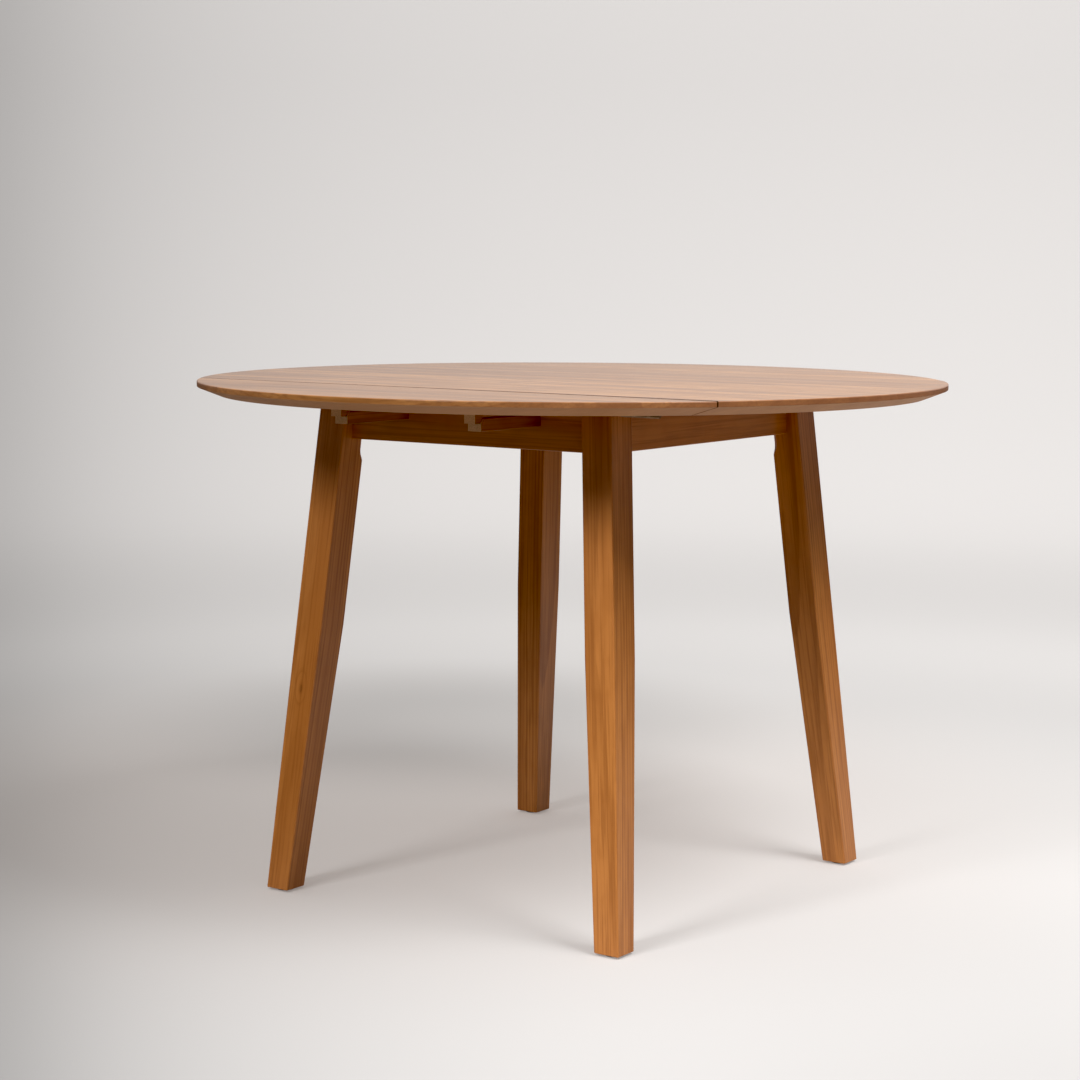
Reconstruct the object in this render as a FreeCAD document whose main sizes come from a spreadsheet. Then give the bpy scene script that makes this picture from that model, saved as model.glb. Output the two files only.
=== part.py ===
import FreeCAD, Part
import math
import os
import Sketcher
from FreeCAD import Placement, Rotation, Vector

# Round drop-leaf table in wood. A centre panel stands on a frame of four splayed legs and four rails, and a
# half-moon leaf is hinged along each side of it. Each leaf is held up by two bars that slide out of the
# frame, and folds down once they are in. Millimetres, +Z up, origin on the floor under the table's middle.
# X runs along the grain and the hinge lines, and -Y is the front.

doc = FreeCAD.newDocument("drop_leaf_table")

SIZES = [
    ("table_height", 750.0, "floor to the upper face of the top"),
    ("top_radius", 550.0, "radius of the round top"),
    ("top_thickness", 20.0, "thickness of panel and leaves"),
    ("rim_band", 8.0, "upright part of the rim"),
    ("bevel_inset", 31.0, "how far the bevel under the rim runs in"),
    ("rim_round", 1.6, "rounding of the rim's upper edge"),
    ("seam_offset", 320.0, "hinge line to the middle of the table"),
    ("seam_gap", 1.5, "gap between panel and leaf"),
    ("seam_chamfer", 0.8, "broken edge along the seam"),
    ("leg_top_x", 252.0, "outer face of the leg under the top, along X"),
    ("leg_top_y", 273.0, "outer face of the leg under the top, along Y"),
    ("leg_foot_x", 312.0, "outer face of the leg at the floor, along X"),
    ("leg_foot_y", 334.5, "outer face of the leg at the floor, along Y"),
    ("leg_width_x", 48.0, "leg section above the taper, along X"),
    ("leg_width_y", 52.0, "leg section above the taper, along Y"),
    ("foot_width_x", 39.5, "leg section at the floor, along X"),
    ("foot_width_y", 39.0, "leg section at the floor, along Y"),
    ("taper_height", 393.0, "height where the taper of the two inner faces begins"),
    ("leg_round", 2.0, "rounding of the leg's long edges"),
    ("foot_chamfer", 1.0, "broken edge round the foot"),
    ("corner_flat", 8.0, "width taken off each inner face by the flat on the leg's inner corner"),
    ("flat_drop", 15.0, "end of that flat below the rail's lower edge"),
    ("flat_runout", 26.0, "length of the double curve that ends the flat"),
    ("glide_radius", 13.0, "radius of the foot glide"),
    ("glide_thickness", 3.0, "thickness of the foot glide"),
    ("rail_height", 63.0, "height of the rails"),
    ("rail_thickness", 20.0, "thickness of the rails"),
    ("rail_setback", 16.0, "rail face behind the leg's outer face, at the top"),
    ("rail_round", 1.5, "rounding of the rails' lower edges"),
    ("block_face", 85.0, "length of the corner block's inner face"),
    ("block_height", 54.0, "height of the corner block"),
    ("block_lift", 4.0, "corner block above the rail's lower edge"),
    ("bolt_radius", 4.0, "radius of the hanger bolt"),
    ("bolt_lift", 17.0, "lower bolt above the rail's lower edge"),
    ("bolt_spacing", 28.0, "upper bolt above the lower one"),
    ("bolt_bite", 40.0, "length of the bolt inside the leg"),
    ("bolt_tail", 16.0, "length of the bolt beyond the corner block"),
    ("bolt_play", 0.5, "play of the bolt in the corner block"),
    ("thread_play", 0.05, "play of a screw, bolt, nut or peg in its thread or hole"),
    ("washer_radius", 10.0, "radius of the bolt's washer"),
    ("washer_thickness", 1.6, "thickness of the bolt's washer"),
    ("nut_radius", 7.5, "nut across its corners, halved"),
    ("nut_height", 6.5, "height of the nut"),
    ("screw_radius", 2.0, "radius of the wood screws"),
    ("head_radius", 3.8, "radius of the screw heads"),
    ("head_height", 2.2, "height of the screw heads"),
    ("head_play", 0.5, "play of a screw head in its recess"),
    ("screw_bite", 12.0, "length of a screw inside the piece that it holds to"),
    ("tip_play", 0.5, "room left beyond the end of a screw, bolt or peg"),
    ("block_grip", 14.0, "wood under the head of a block screw"),
    ("block_screw_inset", 22.0, "block screw from the sharp end of the corner block"),
    ("bar_offset", 115.0, "support bar to the middle of the table, along X"),
    ("bar_width", 22.0, "width of the support bar"),
    ("bar_height", 17.0, "height of the support bar"),
    ("bar_drop", 13.0, "upper face of the bar below the panel"),
    ("bar_reach", 72.0, "nose of the pulled-out bar beyond the hinge line"),
    ("bar_length", 235.0, "length of the support bar"),
    ("bar_meeting", 7.0, "inner end of the pushed-in bar to the middle of the table"),
    ("bar_round", 1.0, "rounding of the bar's long edges"),
    ("nose_bevel", 6.0, "bevel on the bar's nose and on the catch block"),
    ("bevel_gap", 0.3, "gap between the two bevels"),
    ("slide_gap", 0.3, "gap round the bar in its guide and in the rail"),
    ("guide_wall", 10.0, "side wall of the guide"),
    ("guide_floor", 6.0, "floor of the guide"),
    ("guide_screw_y", 205.0, "guide screw to the middle of the table, along Y"),
    ("guide_recess", 16.0, "recess that takes the head of a guide screw"),
    ("peg_radius", 3.0, "radius of the stop peg"),
    ("peg_inset", 12.0, "stop peg from the bar's inner end"),
    ("peg_seat", 10.0, "length of the stop peg inside the bar"),
    ("peg_stub", 5.0, "length of the stop peg below the bar"),
    ("catch_width", 18.0, "width of the catch block"),
    ("catch_reach", 83.0, "outer face of the catch block beyond the hinge line"),
    ("catch_recess", 4.0, "recess that takes the head of the catch block's screw"),
    ("hinge_inset", 117.0, "middle of an outer hinge to the end of the hinge line"),
    ("hinge_length", 60.0, "length of a hinge"),
    ("hinge_reach", 26.0, "hinge line to the far edge of a hinge plate"),
    ("hinge_plate", 2.0, "thickness of a hinge plate"),
    ("hinge_edge", 1.0, "hinge line to the near edge of a hinge plate"),
    ("hinge_gap", 0.4, "play between the knuckles and round them"),
    ("knuckle_radius", 3.0, "radius of the hinge knuckles"),
    ("knuckle_length", 20.0, "length of the middle knuckle"),
    ("pin_radius", 1.6, "radius of the hinge pin"),
    ("pin_play", 0.05, "play of the pin in its knuckles"),
    ("hinge_screw_x", 20.0, "outer screws of a hinge plate to its middle"),
    ("hinge_screw_y", 15.0, "outer screws of a hinge plate to the hinge line"),
    ("hinge_screw_mid", 19.0, "middle screw of a hinge plate to the hinge line"),
    ("bracket_width", 18.0, "width of a top bracket"),
    ("bracket_leg", 25.0, "length of both legs of a top bracket"),
    ("bracket_plate", 2.0, "thickness of a top bracket"),
    ("bracket_hole", 15.0, "hole of a top bracket to its bend"),
    ("bracket_y", 90.0, "brackets on the short rails to the middle of the table"),
]

sheet = doc.addObject("Spreadsheet::Sheet", "Sizes")
for row, (alias, number, meaning) in enumerate(SIZES, start=1):
    sheet.set(f"A{row}", meaning)
    sheet.set(f"B{row}", str(number))
    sheet.setAlias(f"B{row}", alias)
doc.recompute()


class Size:
    """A number together with the sheet expression that gives it, so that a sum of sizes stays bound."""

    def __init__(self, value, text):
        self.value = value
        self.text = text

    def __add__(self, other):
        other = as_size(other)
        return Size(self.value + other.value, f"({self.text} + {other.text})")

    def __sub__(self, other):
        other = as_size(other)
        return Size(self.value - other.value, f"({self.text} - {other.text})")

    def __mul__(self, other):
        other = as_size(other)
        return Size(self.value * other.value, f"({self.text} * {other.text})")

    def __truediv__(self, other):
        other = as_size(other)
        return Size(self.value / other.value, f"({self.text} / {other.text})")

    def __neg__(self):
        return Size(-self.value, f"(0 - {self.text})")

    __radd__ = __add__
    __rmul__ = __mul__


def as_size(thing):
    """A plain number becomes a constant size."""
    return thing if isinstance(thing, Size) else Size(float(thing), f"({float(thing)!r})")


def root(size):
    return Size(math.sqrt(size.value), f"sqrt({size.text})")


class Sheet:
    """The sheet's cells as attributes, each a Size."""

    def __getattr__(self, alias):
        return Size(float(sheet.get(alias)), f"Sizes.{alias}")


size = Sheet()
nodes = {}


def bind(thing, prop, value):
    """Set a feature's property and tie it to the sheet."""
    setattr(thing, prop, value.value)
    thing.setExpression(prop, value.text)


def new_body(node):
    body = doc.addObject("PartDesign::Body", node)
    body.Label = node
    nodes[node] = body
    return body


def new_sketch(body, role, turn=0.0, base=(0, 0, 0)):
    """A sketch on the body's own origin plane, moved by base along the plane's axes and turned about Z."""
    plane = next(part for part in body.Origin.OriginFeatures if part.Role == role)
    sketch = body.newObject("Sketcher::SketchObject", f"{body.Name}_sketch")
    sketch.AttachmentSupport = [(plane, "")]
    sketch.MapMode = "FlatFace"
    shift = [as_size(value) for value in base]
    sketch.AttachmentOffset = Placement(Vector(*[value.value for value in shift]),
                                        Rotation(Vector(0, 1, 0), turn))
    for axis, value in zip("xyz", shift):
        sketch.setExpression(f"AttachmentOffset.Base.{axis}", value.text)
    return sketch


def hold(sketch, geometry, point, x, y):
    """Tie one point of a sketch to its two sizes, measured from the sketch's origin."""
    for kind, value in (("DistanceX", x), ("DistanceY", y)):
        index = sketch.addConstraint(Sketcher.Constraint(kind, -1, 1, geometry, point, value.value))
        sketch.setExpression(f"Constraints[{index}]", value.text)


def arc_between(start, end, radius, turn):
    """The short arc from start to end, bending left for turn +1 and right for turn -1."""
    chord = end - start
    left = Vector(-chord.y, chord.x, 0).normalize()
    rise = math.sqrt(radius ** 2 - chord.Length ** 2 / 4)
    centre = (start + end) / 2 + left * (turn * rise)
    first, last = (start, end) if turn > 0 else (end, start)
    angles = [math.atan2(point.y - centre.y, point.x - centre.x) for point in (first, last)]
    return Part.ArcOfCircle(Part.Circle(centre, Vector(0, 0, 1), radius), *angles)


def outline(sketch, corners):
    """Closed outline through corners (x, y). A corner (x, y, radius, turn) is followed by an arc."""
    corners = [[as_size(corner[0]), as_size(corner[1]), *corner[2:]] for corner in corners]
    ends = []
    for corner, following in zip(corners, corners[1:] + corners[:1]):
        start = Vector(corner[0].value, corner[1].value, 0)
        end = Vector(following[0].value, following[1].value, 0)
        if len(corner) == 2:
            ends.append((sketch.addGeometry(Part.LineSegment(start, end)), 1, 2))
            continue
        radius, turn = corner[2:]
        arc = sketch.addGeometry(arc_between(start, end, radius.value, turn))
        ends.append((arc, 1, 2) if turn > 0 else (arc, 2, 1))
        index = sketch.addConstraint(Sketcher.Constraint("Radius", arc, radius.value))
        sketch.setExpression(f"Constraints[{index}]", radius.text)
    for (line, _, tail), (following, head, _) in zip(ends, ends[1:] + ends[:1]):
        sketch.addConstraint(Sketcher.Constraint("Coincident", line, tail, following, head))
    for (line, head, _), corner in zip(ends, corners):
        hold(sketch, line, head, corner[0], corner[1])


def rectangle(sketch, low, high):
    outline(sketch, [(low[0], low[1]), (high[0], low[1]), (high[0], high[1]), (low[0], high[1])])


def circles(sketch, radius, centres):
    for x, y in centres:
        x, y = as_size(x), as_size(y)
        circle = Part.Circle(Vector(x.value, y.value, 0), Vector(0, 0, 1), radius.value)
        geometry = sketch.addGeometry(circle)
        index = sketch.addConstraint(Sketcher.Constraint("Radius", geometry, radius.value))
        sketch.setExpression(f"Constraints[{index}]", radius.text)
        hold(sketch, geometry, 3, x, y)


def pad(body, sketch, length, side="Symmetric"):
    feature = body.newObject("PartDesign::Pad", f"{body.Name}_pad")
    feature.Profile = sketch
    feature.SideType = side
    bind(feature, "Length", as_size(length))
    doc.recompute()
    return feature


def pocket(body, sketch, length=None, side="One side", forward=False):
    """Cut a sketch out of the body, through all or to a length; forward is along the sketch's normal."""
    before = body.Tip.Shape.Volume
    feature = body.newObject("PartDesign::Pocket", f"{body.Name}_pocket")
    feature.Profile = sketch
    feature.SideType = side
    feature.Reversed = forward
    if length is None:
        feature.Type = "ThroughAll"
    else:
        bind(feature, "Length", as_size(length))
    doc.recompute()
    if feature.Shape.Volume >= before - 1e-6:
        raise ValueError(f"{feature.Name} cuts nothing from {body.Label}")
    return feature


def round_edges(body, radius, wanted):
    """Fillet the edges of the body's last feature that the test picks."""
    last = body.Tip
    names = [f"Edge{index}" for index, edge in enumerate(last.Shape.Edges, start=1) if wanted(edge)]
    fillet = body.newObject("PartDesign::Fillet", f"{body.Name}_fillet")
    fillet.Base = (last, names)
    bind(fillet, "Radius", radius)
    doc.recompute()
    return fillet


def near(first, second):
    return abs(first - second) < 1e-3


def group(node, solids):
    """Like pieces as one node of separate solids."""
    feature = doc.addObject("Part::Feature", node)
    feature.Label = node
    feature.Shape = Part.makeCompound(solids)
    nodes[node] = feature
    return feature


def cylinder(radius, start, direction, length):
    """A round bar from a point along a direction; radius and length are sizes."""
    return Part.makeCylinder(radius.value, length.value, start, direction)


def screw(seat, direction, grip):
    """A pan-head wood screw: its head stands on the seat, its shank runs through the grip and beyond."""
    head = cylinder(size.head_radius, seat, direction * -1, size.head_height)
    shank = cylinder(size.screw_radius, seat, direction, grip + size.screw_bite)
    return head.fuse(shank).removeSplitter()


def point(x, y, z):
    return Vector(as_size(x).value, as_size(y).value, as_size(z).value)


UP = Vector(0, 0, 1)
SIDES = (("front", -1), ("rear", 1))
HANDS = (("left", -1), ("right", 1))
ROOT_TWO = math.sqrt(2)
MARGIN = 5.0

# Levels and lines that several pieces share
under = size.table_height - size.top_thickness
rail_bottom = under - size.rail_height
rail_inner_x = size.leg_top_x - size.rail_setback - size.rail_thickness
rail_inner_y = size.leg_top_y - size.rail_setback - size.rail_thickness
pilot_radius = size.screw_radius + size.thread_play
pilot_depth = size.screw_bite + size.tip_play
bar_top = under - size.bar_drop
bar_bottom = bar_top - size.bar_height
bar_tip = size.seam_offset + size.bar_reach
bar_end = bar_tip - size.bar_length
bar_travel = bar_end - size.bar_meeting
peg_y = bar_end + size.peg_inset
pin_height = under - size.knuckle_radius - size.hinge_gap
seam_half = root(size.top_radius * size.top_radius - size.seam_offset * size.seam_offset)
hinge_places = (size.hinge_inset - seam_half, as_size(0), seam_half - size.hinge_inset)
guide_half = size.bar_width / 2 + size.slide_gap
guide_bottom = bar_bottom - size.slide_gap - size.guide_floor
catch_screw_y = (size.bar_reach + size.catch_reach) / 2 + size.seam_offset


def hinge_screw_points(x, y_line, way):
    """Screw centres of one hinge plate; way is +1 or -1 along Y from the hinge line."""
    return [(x - size.hinge_screw_x, y_line + size.hinge_screw_y * way),
            (x, y_line + size.hinge_screw_mid * way),
            (x + size.hinge_screw_x, y_line + size.hinge_screw_y * way)]


def guide_screw_points(hand):
    """Screw centres of one bar guide, in its two side walls."""
    reach = guide_half + size.guide_wall / 2
    return [(size.bar_offset * hand + reach * wall, size.guide_screw_y * end)
            for wall in (-1, 1) for end in (-1, 1)]


# Top brackets: the middle of each one's bend, and the quarter turns from +Y to the way that it points
bracket_places = [(as_size(0), -rail_inner_y, 0), (as_size(0), rail_inner_y, 2)]
for end in (-1, 1):
    bracket_places.append((rail_inner_x, size.bracket_y * end, 1))
    bracket_places.append((-rail_inner_x, size.bracket_y * end, 3))


def bracket_way(quarters):
    """Unit vector that a top bracket points along, from its rail to the middle of the table."""
    return ((0, 1), (-1, 0), (0, -1), (1, 0))[quarters]


def bracket_screw_point(x, y, quarters):
    """Centre of the screw that holds a bracket to the panel."""
    way = bracket_way(quarters)
    return (x + size.bracket_hole * way[0], y + size.bracket_hole * way[1])


def round_board(node, waste, pilots):
    """A board of the round top: the full disc, less the waste beyond its seams, with its pilot holes."""
    body = new_body(node)
    profile = new_sketch(body, "XZ_Plane")
    outline(profile, [(0, under),
                      (size.top_radius - size.bevel_inset, under),
                      (size.top_radius, size.table_height - size.rim_band),
                      (size.top_radius, size.table_height),
                      (0, size.table_height)])
    disc = body.newObject("PartDesign::Revolution", f"{node}_disc")
    disc.Profile = profile
    disc.ReferenceAxis = (profile, ["V_Axis"])
    disc.Angle = 360.0
    doc.recompute()
    high = size.table_height.value
    round_edges(body, size.rim_round,
                lambda edge: len(edge.Vertexes) == 1 and near(edge.BoundBox.ZMin, high))
    seams = new_sketch(body, "YZ_Plane")
    for corners in waste:
        outline(seams, corners)
    pocket(body, seams, side="Symmetric")
    holes = new_sketch(body, "XY_Plane", base=(0, 0, under))
    circles(holes, pilot_radius, pilots)
    pocket(body, holes, pilot_depth, forward=True)
    return body


def seam_waste(edge, chamfer_way, far):
    """Outline, across the seam, of what is cut away between a board's edge and a far line."""
    broken = edge + size.seam_chamfer * chamfer_way
    over = size.table_height + MARGIN
    return [(edge, under - MARGIN), (edge, size.table_height - size.seam_chamfer),
            (broken, size.table_height), (broken, over), (far, over), (far, under - MARGIN)]


# Centre panel
half_gap = size.seam_gap / 2
beyond = size.top_radius + MARGIN
panel_pilots = [bracket_screw_point(*place) for place in bracket_places]
for hand in (-1, 1):
    panel_pilots += guide_screw_points(hand)
for _, side in SIDES:
    for x in hinge_places:
        panel_pilots += hinge_screw_points(x, size.seam_offset * side, -side)
panel_edges = [seam_waste((size.seam_offset - half_gap) * side, -side, beyond * side) for _, side in SIDES]
round_board("centre_panel", panel_edges, panel_pilots)

# Leaves
for name, side in SIDES:
    leaf_pilots = [(size.bar_offset * hand, catch_screw_y * side) for hand in (-1, 1)]
    for x in hinge_places:
        leaf_pilots += hinge_screw_points(x, size.seam_offset * side, side)
    leaf_edge = seam_waste((size.seam_offset + half_gap) * side, side, beyond * -side)
    round_board(f"{name}_leaf", [leaf_edge], leaf_pilots)


def leg_outer(foot, top, z):
    """Outer face of a leg at a height: a straight line from the floor to the underside of the top."""
    return foot + (top - foot) * z / under


def leg_outer_x(z):
    return leg_outer(size.leg_foot_x, size.leg_top_x, z)


def leg_outer_y(z):
    return leg_outer(size.leg_foot_y, size.leg_top_y, z)


def leg_inner_x(z):
    """Inner face above the taper, parallel to the outer one."""
    return leg_outer_x(z) - size.leg_width_x


def leg_inner_y(z):
    return leg_outer_y(z) - size.leg_width_y


def foot_inner(outer, foot_width, width, z):
    """Inner face below the taper's start, where the section narrows evenly to the floor."""
    return outer - foot_width - (width - foot_width) * z / size.taper_height


def corner_line(z):
    """Distance from the table's axis to the leg's uncut inner corner, along the corner's diagonal."""
    return (leg_inner_x(z) + leg_inner_y(z)) / ROOT_TWO


def flat_line(z):
    """The same distance to the flat that is cut on that corner."""
    return corner_line(z) + size.corner_flat / ROOT_TWO


bolt_heights = (rail_bottom + size.bolt_lift, rail_bottom + size.bolt_lift + size.bolt_spacing)
bolt_end = flat_line(rail_bottom) + size.bolt_bite
block_line = (rail_inner_x + rail_inner_y) / ROOT_TWO - size.block_face / 2
leg_lift = size.glide_thickness
over_leg = under + MARGIN


def bolt_aside(quadrant):
    """Bolts beside the table's diagonal, because the leg's section isn't square."""
    middle = (bolt_heights[0] + bolt_heights[1]) / 2
    return (leg_inner_y(middle) - leg_inner_x(middle)) / ROOT_TWO * quadrant


def across_corner(body, turn, distance):
    """Sketch square to a corner's diagonal, at a distance from the table's axis; its x is to the side."""
    sine, cosine = math.sin(math.radians(turn)), math.cos(math.radians(turn))
    return new_sketch(body, "YZ_Plane", turn, (distance * sine, 0, distance * cosine))


def leg_section(body, hand, side, z, inner_x, inner_y, trim=0.0):
    """Section of a leg at a height: a rectangle with rounded corners, made smaller all round by the trim."""
    spans = []
    for way, inner, outer in ((hand, inner_x + trim, leg_outer_x(z) - trim),
                              (side, inner_y + trim, leg_outer_y(z) - trim)):
        spans.append((inner, outer) if way > 0 else (-outer, -inner))
    (left, right), (front, back) = spans
    edge = size.leg_round
    sketch = new_sketch(body, "XY_Plane", base=(0, 0, z))
    outline(sketch, [(left + edge, front), (right - edge, front, edge, 1), (right, front + edge),
                     (right, back - edge, edge, 1), (right - edge, back), (left + edge, back, edge, 1),
                     (left, back - edge), (left, front + edge, edge, 1)])
    return sketch


def tapered_section(body, hand, side, z, trim=0.0):
    """Section of a leg at or below the height where its taper begins."""
    inner_x = foot_inner(leg_outer_x(z), size.foot_width_x, size.leg_width_x, z)
    inner_y = foot_inner(leg_outer_y(z), size.foot_width_y, size.leg_width_y, z)
    return leg_section(body, hand, side, z, inner_x, inner_y, trim)


def leg(node, hand, side):
    """A splayed leg, straight outside and tapered inside, with a flat and bolt bores on its inner corner."""
    body = new_body(node)
    turn = math.degrees(math.atan2(side, hand))
    loft = body.newObject("PartDesign::AdditiveLoft", f"{node}_loft")
    loft.Profile = tapered_section(body, hand, side, leg_lift, size.foot_chamfer)
    loft.Sections = [tapered_section(body, hand, side, leg_lift + size.foot_chamfer),
                     tapered_section(body, hand, side, size.taper_height),
                     leg_section(body, hand, side, under, leg_inner_x(under), leg_inner_y(under))]
    loft.Ruled = True
    doc.recompute()
    corner_cut = new_sketch(body, "XZ_Plane", turn)
    outline(corner_cut, corner_cut_outline())
    pocket(body, corner_cut, side="Symmetric")
    bores = across_corner(body, turn, flat_line(under))
    circles(bores, size.bolt_radius + size.thread_play,
            [(bolt_aside(hand * side), height) for height in bolt_heights])
    pocket(body, bores, bolt_end + size.tip_play - flat_line(under), forward=True)
    return body


def corner_cut_outline():
    """Waste inside the leg's inner corner: down the flat, then out through two equal arcs."""
    lean = (corner_line(as_size(0)) - corner_line(under)) / under
    long_side = root(lean * lean + 1)
    depth = size.corner_flat / ROOT_TWO / long_side
    radius = (size.flat_runout * size.flat_runout + depth * depth) / (depth * 4)
    flat_end = rail_bottom - size.flat_drop
    start = (flat_line(flat_end), flat_end)
    end = (start[0] + (size.flat_runout * lean - depth) / long_side,
           start[1] - (size.flat_runout + depth * lean) / long_side)
    middle = ((start[0] + end[0]) / 2, (start[1] + end[1]) / 2)
    inside = end[0] - size.leg_width_x
    return [(flat_line(over_leg), over_leg), start + (radius, -1), middle + (radius, 1), end,
            (inside, end[1]), (inside, over_leg)]


# Legs and their foot glides
for side_name, side in SIDES:
    for hand_name, hand in HANDS:
        leg(f"leg_{side_name}_{hand_name}", hand, side)
        node = f"glide_{side_name}_{hand_name}"
        glide = doc.addObject("Part::Cylinder", node)
        glide.Label = node
        bind(glide, "Radius", size.glide_radius)
        bind(glide, "Height", size.glide_thickness)
        glide_x = (leg_outer_x(leg_lift) - size.foot_width_x / 2) * hand
        glide_y = (leg_outer_y(leg_lift) - size.foot_width_y / 2) * side
        glide.Placement = Placement(point(glide_x, glide_y, 0), Rotation())
        glide.setExpression("Placement.Base.x", glide_x.text)
        glide.setExpression("Placement.Base.y", glide_y.text)
        nodes[node] = glide

# Where the block screws go into the rails, from the sharp ends of the corner blocks
block_screw_x = block_line * ROOT_TWO - rail_inner_y + size.block_screw_inset
block_screw_y = block_line * ROOT_TWO - rail_inner_x + size.block_screw_inset
block_bottom = rail_bottom + size.block_lift
block_middle = block_bottom + size.block_height / 2
bracket_screw_height = under - size.bracket_hole


def rail_outline(inner_face):
    """Rail seen from its side. Its ends lean with the legs' inner faces."""
    return [(-inner_face(under), under), (inner_face(under), under),
            (inner_face(rail_bottom), rail_bottom), (-inner_face(rail_bottom), rail_bottom)]


def round_rail(body):
    """Take the edge off both lower corners of a rail."""
    low = rail_bottom.value
    thick = size.rail_thickness.value
    round_edges(body, size.rail_round,
                lambda edge: near(edge.BoundBox.ZMax, low) and edge.Length > thick + MARGIN)


# Long rails, each with two windows for the bars
for name, side in SIDES:
    body = new_body(f"{name}_rail")
    view = new_sketch(body, "XZ_Plane", base=(0, 0, (rail_inner_y + size.rail_thickness / 2) * -side))
    outline(view, rail_outline(leg_inner_x))
    for hand in (-1, 1):
        middle = size.bar_offset * hand
        rectangle(view, (middle - guide_half, bar_bottom - size.slide_gap),
                  (middle + guide_half, bar_top + size.slide_gap))
    pad(body, view, size.rail_thickness)
    round_rail(body)
    holes = new_sketch(body, "XZ_Plane", base=(0, 0, rail_inner_y * -side))
    circles(holes, pilot_radius, [(block_screw_x * -1, block_middle), (0, bracket_screw_height),
                                  (block_screw_x, block_middle)])
    pocket(body, holes, pilot_depth, forward=side < 0)

# Short rails
for name, hand in HANDS:
    body = new_body(f"{name}_rail")
    view = new_sketch(body, "YZ_Plane", base=(0, 0, (rail_inner_x + size.rail_thickness / 2) * hand))
    outline(view, rail_outline(leg_inner_y))
    pad(body, view, size.rail_thickness)
    round_rail(body)
    holes = new_sketch(body, "YZ_Plane", base=(0, 0, rail_inner_x * hand))
    circles(holes, pilot_radius, [(block_screw_y * end, block_middle) for end in (-1, 1)]
            + [(size.bracket_y * end, bracket_screw_height) for end in (-1, 1)])
    pocket(body, holes, pilot_depth, forward=hand > 0)

recess_radius = size.head_radius + size.head_play


def corner_block(node, hand, side):
    """A triangular block between two rails, with its point cut off along the leg's flat."""
    body = new_body(node)
    turn = math.degrees(math.atan2(side, hand))
    plan = new_sketch(body, "XY_Plane", base=(0, 0, block_bottom))
    outline(plan, [(rail_inner_x * hand, rail_inner_y * side),
                   ((block_line * ROOT_TWO - rail_inner_y) * hand, rail_inner_y * side),
                   (rail_inner_x * hand, (block_line * ROOT_TWO - rail_inner_x) * side)])
    pad(body, plan, size.block_height, side="One side")
    low, high = block_bottom - MARGIN, block_bottom + size.block_height + MARGIN
    past = flat_line(low) + size.block_face
    point_cut = new_sketch(body, "XZ_Plane", turn)
    outline(point_cut, [(flat_line(low), low), (flat_line(high), high), (past, high), (past, low)])
    pocket(body, point_cut, side="Symmetric")
    bores = across_corner(body, turn, block_line)
    circles(bores, size.bolt_radius + size.bolt_play,
            [(bolt_aside(hand * side), height) for height in bolt_heights])
    pocket(body, bores, side="Symmetric")
    seat_x = rail_inner_x - size.block_grip
    seat_y = rail_inner_y - size.block_grip
    for radius, long_seat, short_seat in ((pilot_radius, rail_inner_y, rail_inner_x),
                                          (recess_radius, seat_y, seat_x)):
        to_long = new_sketch(body, "XZ_Plane", base=(0, 0, long_seat * -side))
        circles(to_long, radius, [(block_screw_x * hand, block_middle)])
        pocket(body, to_long, forward=side > 0)
        to_short = new_sketch(body, "YZ_Plane", base=(0, 0, short_seat * hand))
        circles(to_short, radius, [(block_screw_y * side, block_middle)])
        pocket(body, to_short, forward=hand < 0)
    return body


# Corner blocks, and the bolts, washers, nuts and screws that hold legs and blocks
bolts = []
washers = []
nuts = []
block_screws = []
nut_flats = 6
for side_name, side in SIDES:
    for hand_name, hand in HANDS:
        corner_block(f"corner_block_{side_name}_{hand_name}", hand, side)
        outward = Vector(hand, side, 0).normalize()
        along = Vector(-outward.y, outward.x, 0)
        to_leg = Rotation(UP, outward)
        for height in bolt_heights:
            axis_foot = along * bolt_aside(hand * side).value + UP * height.value
            face = axis_foot + outward * block_line.value
            bolt_length = size.bolt_tail + bolt_end - block_line
            tail_end = face - outward * size.bolt_tail.value
            bolts.append(cylinder(size.bolt_radius, tail_end, outward, bolt_length))
            washer = cylinder(size.washer_radius, face, outward * -1, size.washer_thickness)
            play = size.bolt_radius + size.thread_play
            washers.append(washer.cut(cylinder(play, face, outward * -1, size.washer_thickness)))
            nut_seat = face - outward * (size.washer_thickness + size.nut_height).value
            ring = [Vector(size.nut_radius.value * math.cos(math.tau * turn / nut_flats),
                           size.nut_radius.value * math.sin(math.tau * turn / nut_flats), 0)
                    for turn in range(nut_flats + 1)]
            nut = Part.Face(Part.makePolygon(ring)).extrude(UP * size.nut_height.value)
            nut = nut.cut(cylinder(play, Vector(), UP, size.nut_height))
            nut.Placement = Placement(nut_seat, to_leg)
            nuts.append(nut)
        to_long = point(block_screw_x * hand, (rail_inner_y - size.block_grip) * side, block_middle)
        block_screws.append(screw(to_long, Vector(0, side, 0), size.block_grip))
        to_short = point((rail_inner_x - size.block_grip) * hand, block_screw_y * side, block_middle)
        block_screws.append(screw(to_short, Vector(hand, 0, 0), size.block_grip))
group("hanger_bolts", bolts)
group("bolt_washers", washers)
group("bolt_nuts", nuts)
group("block_screws", block_screws)

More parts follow.
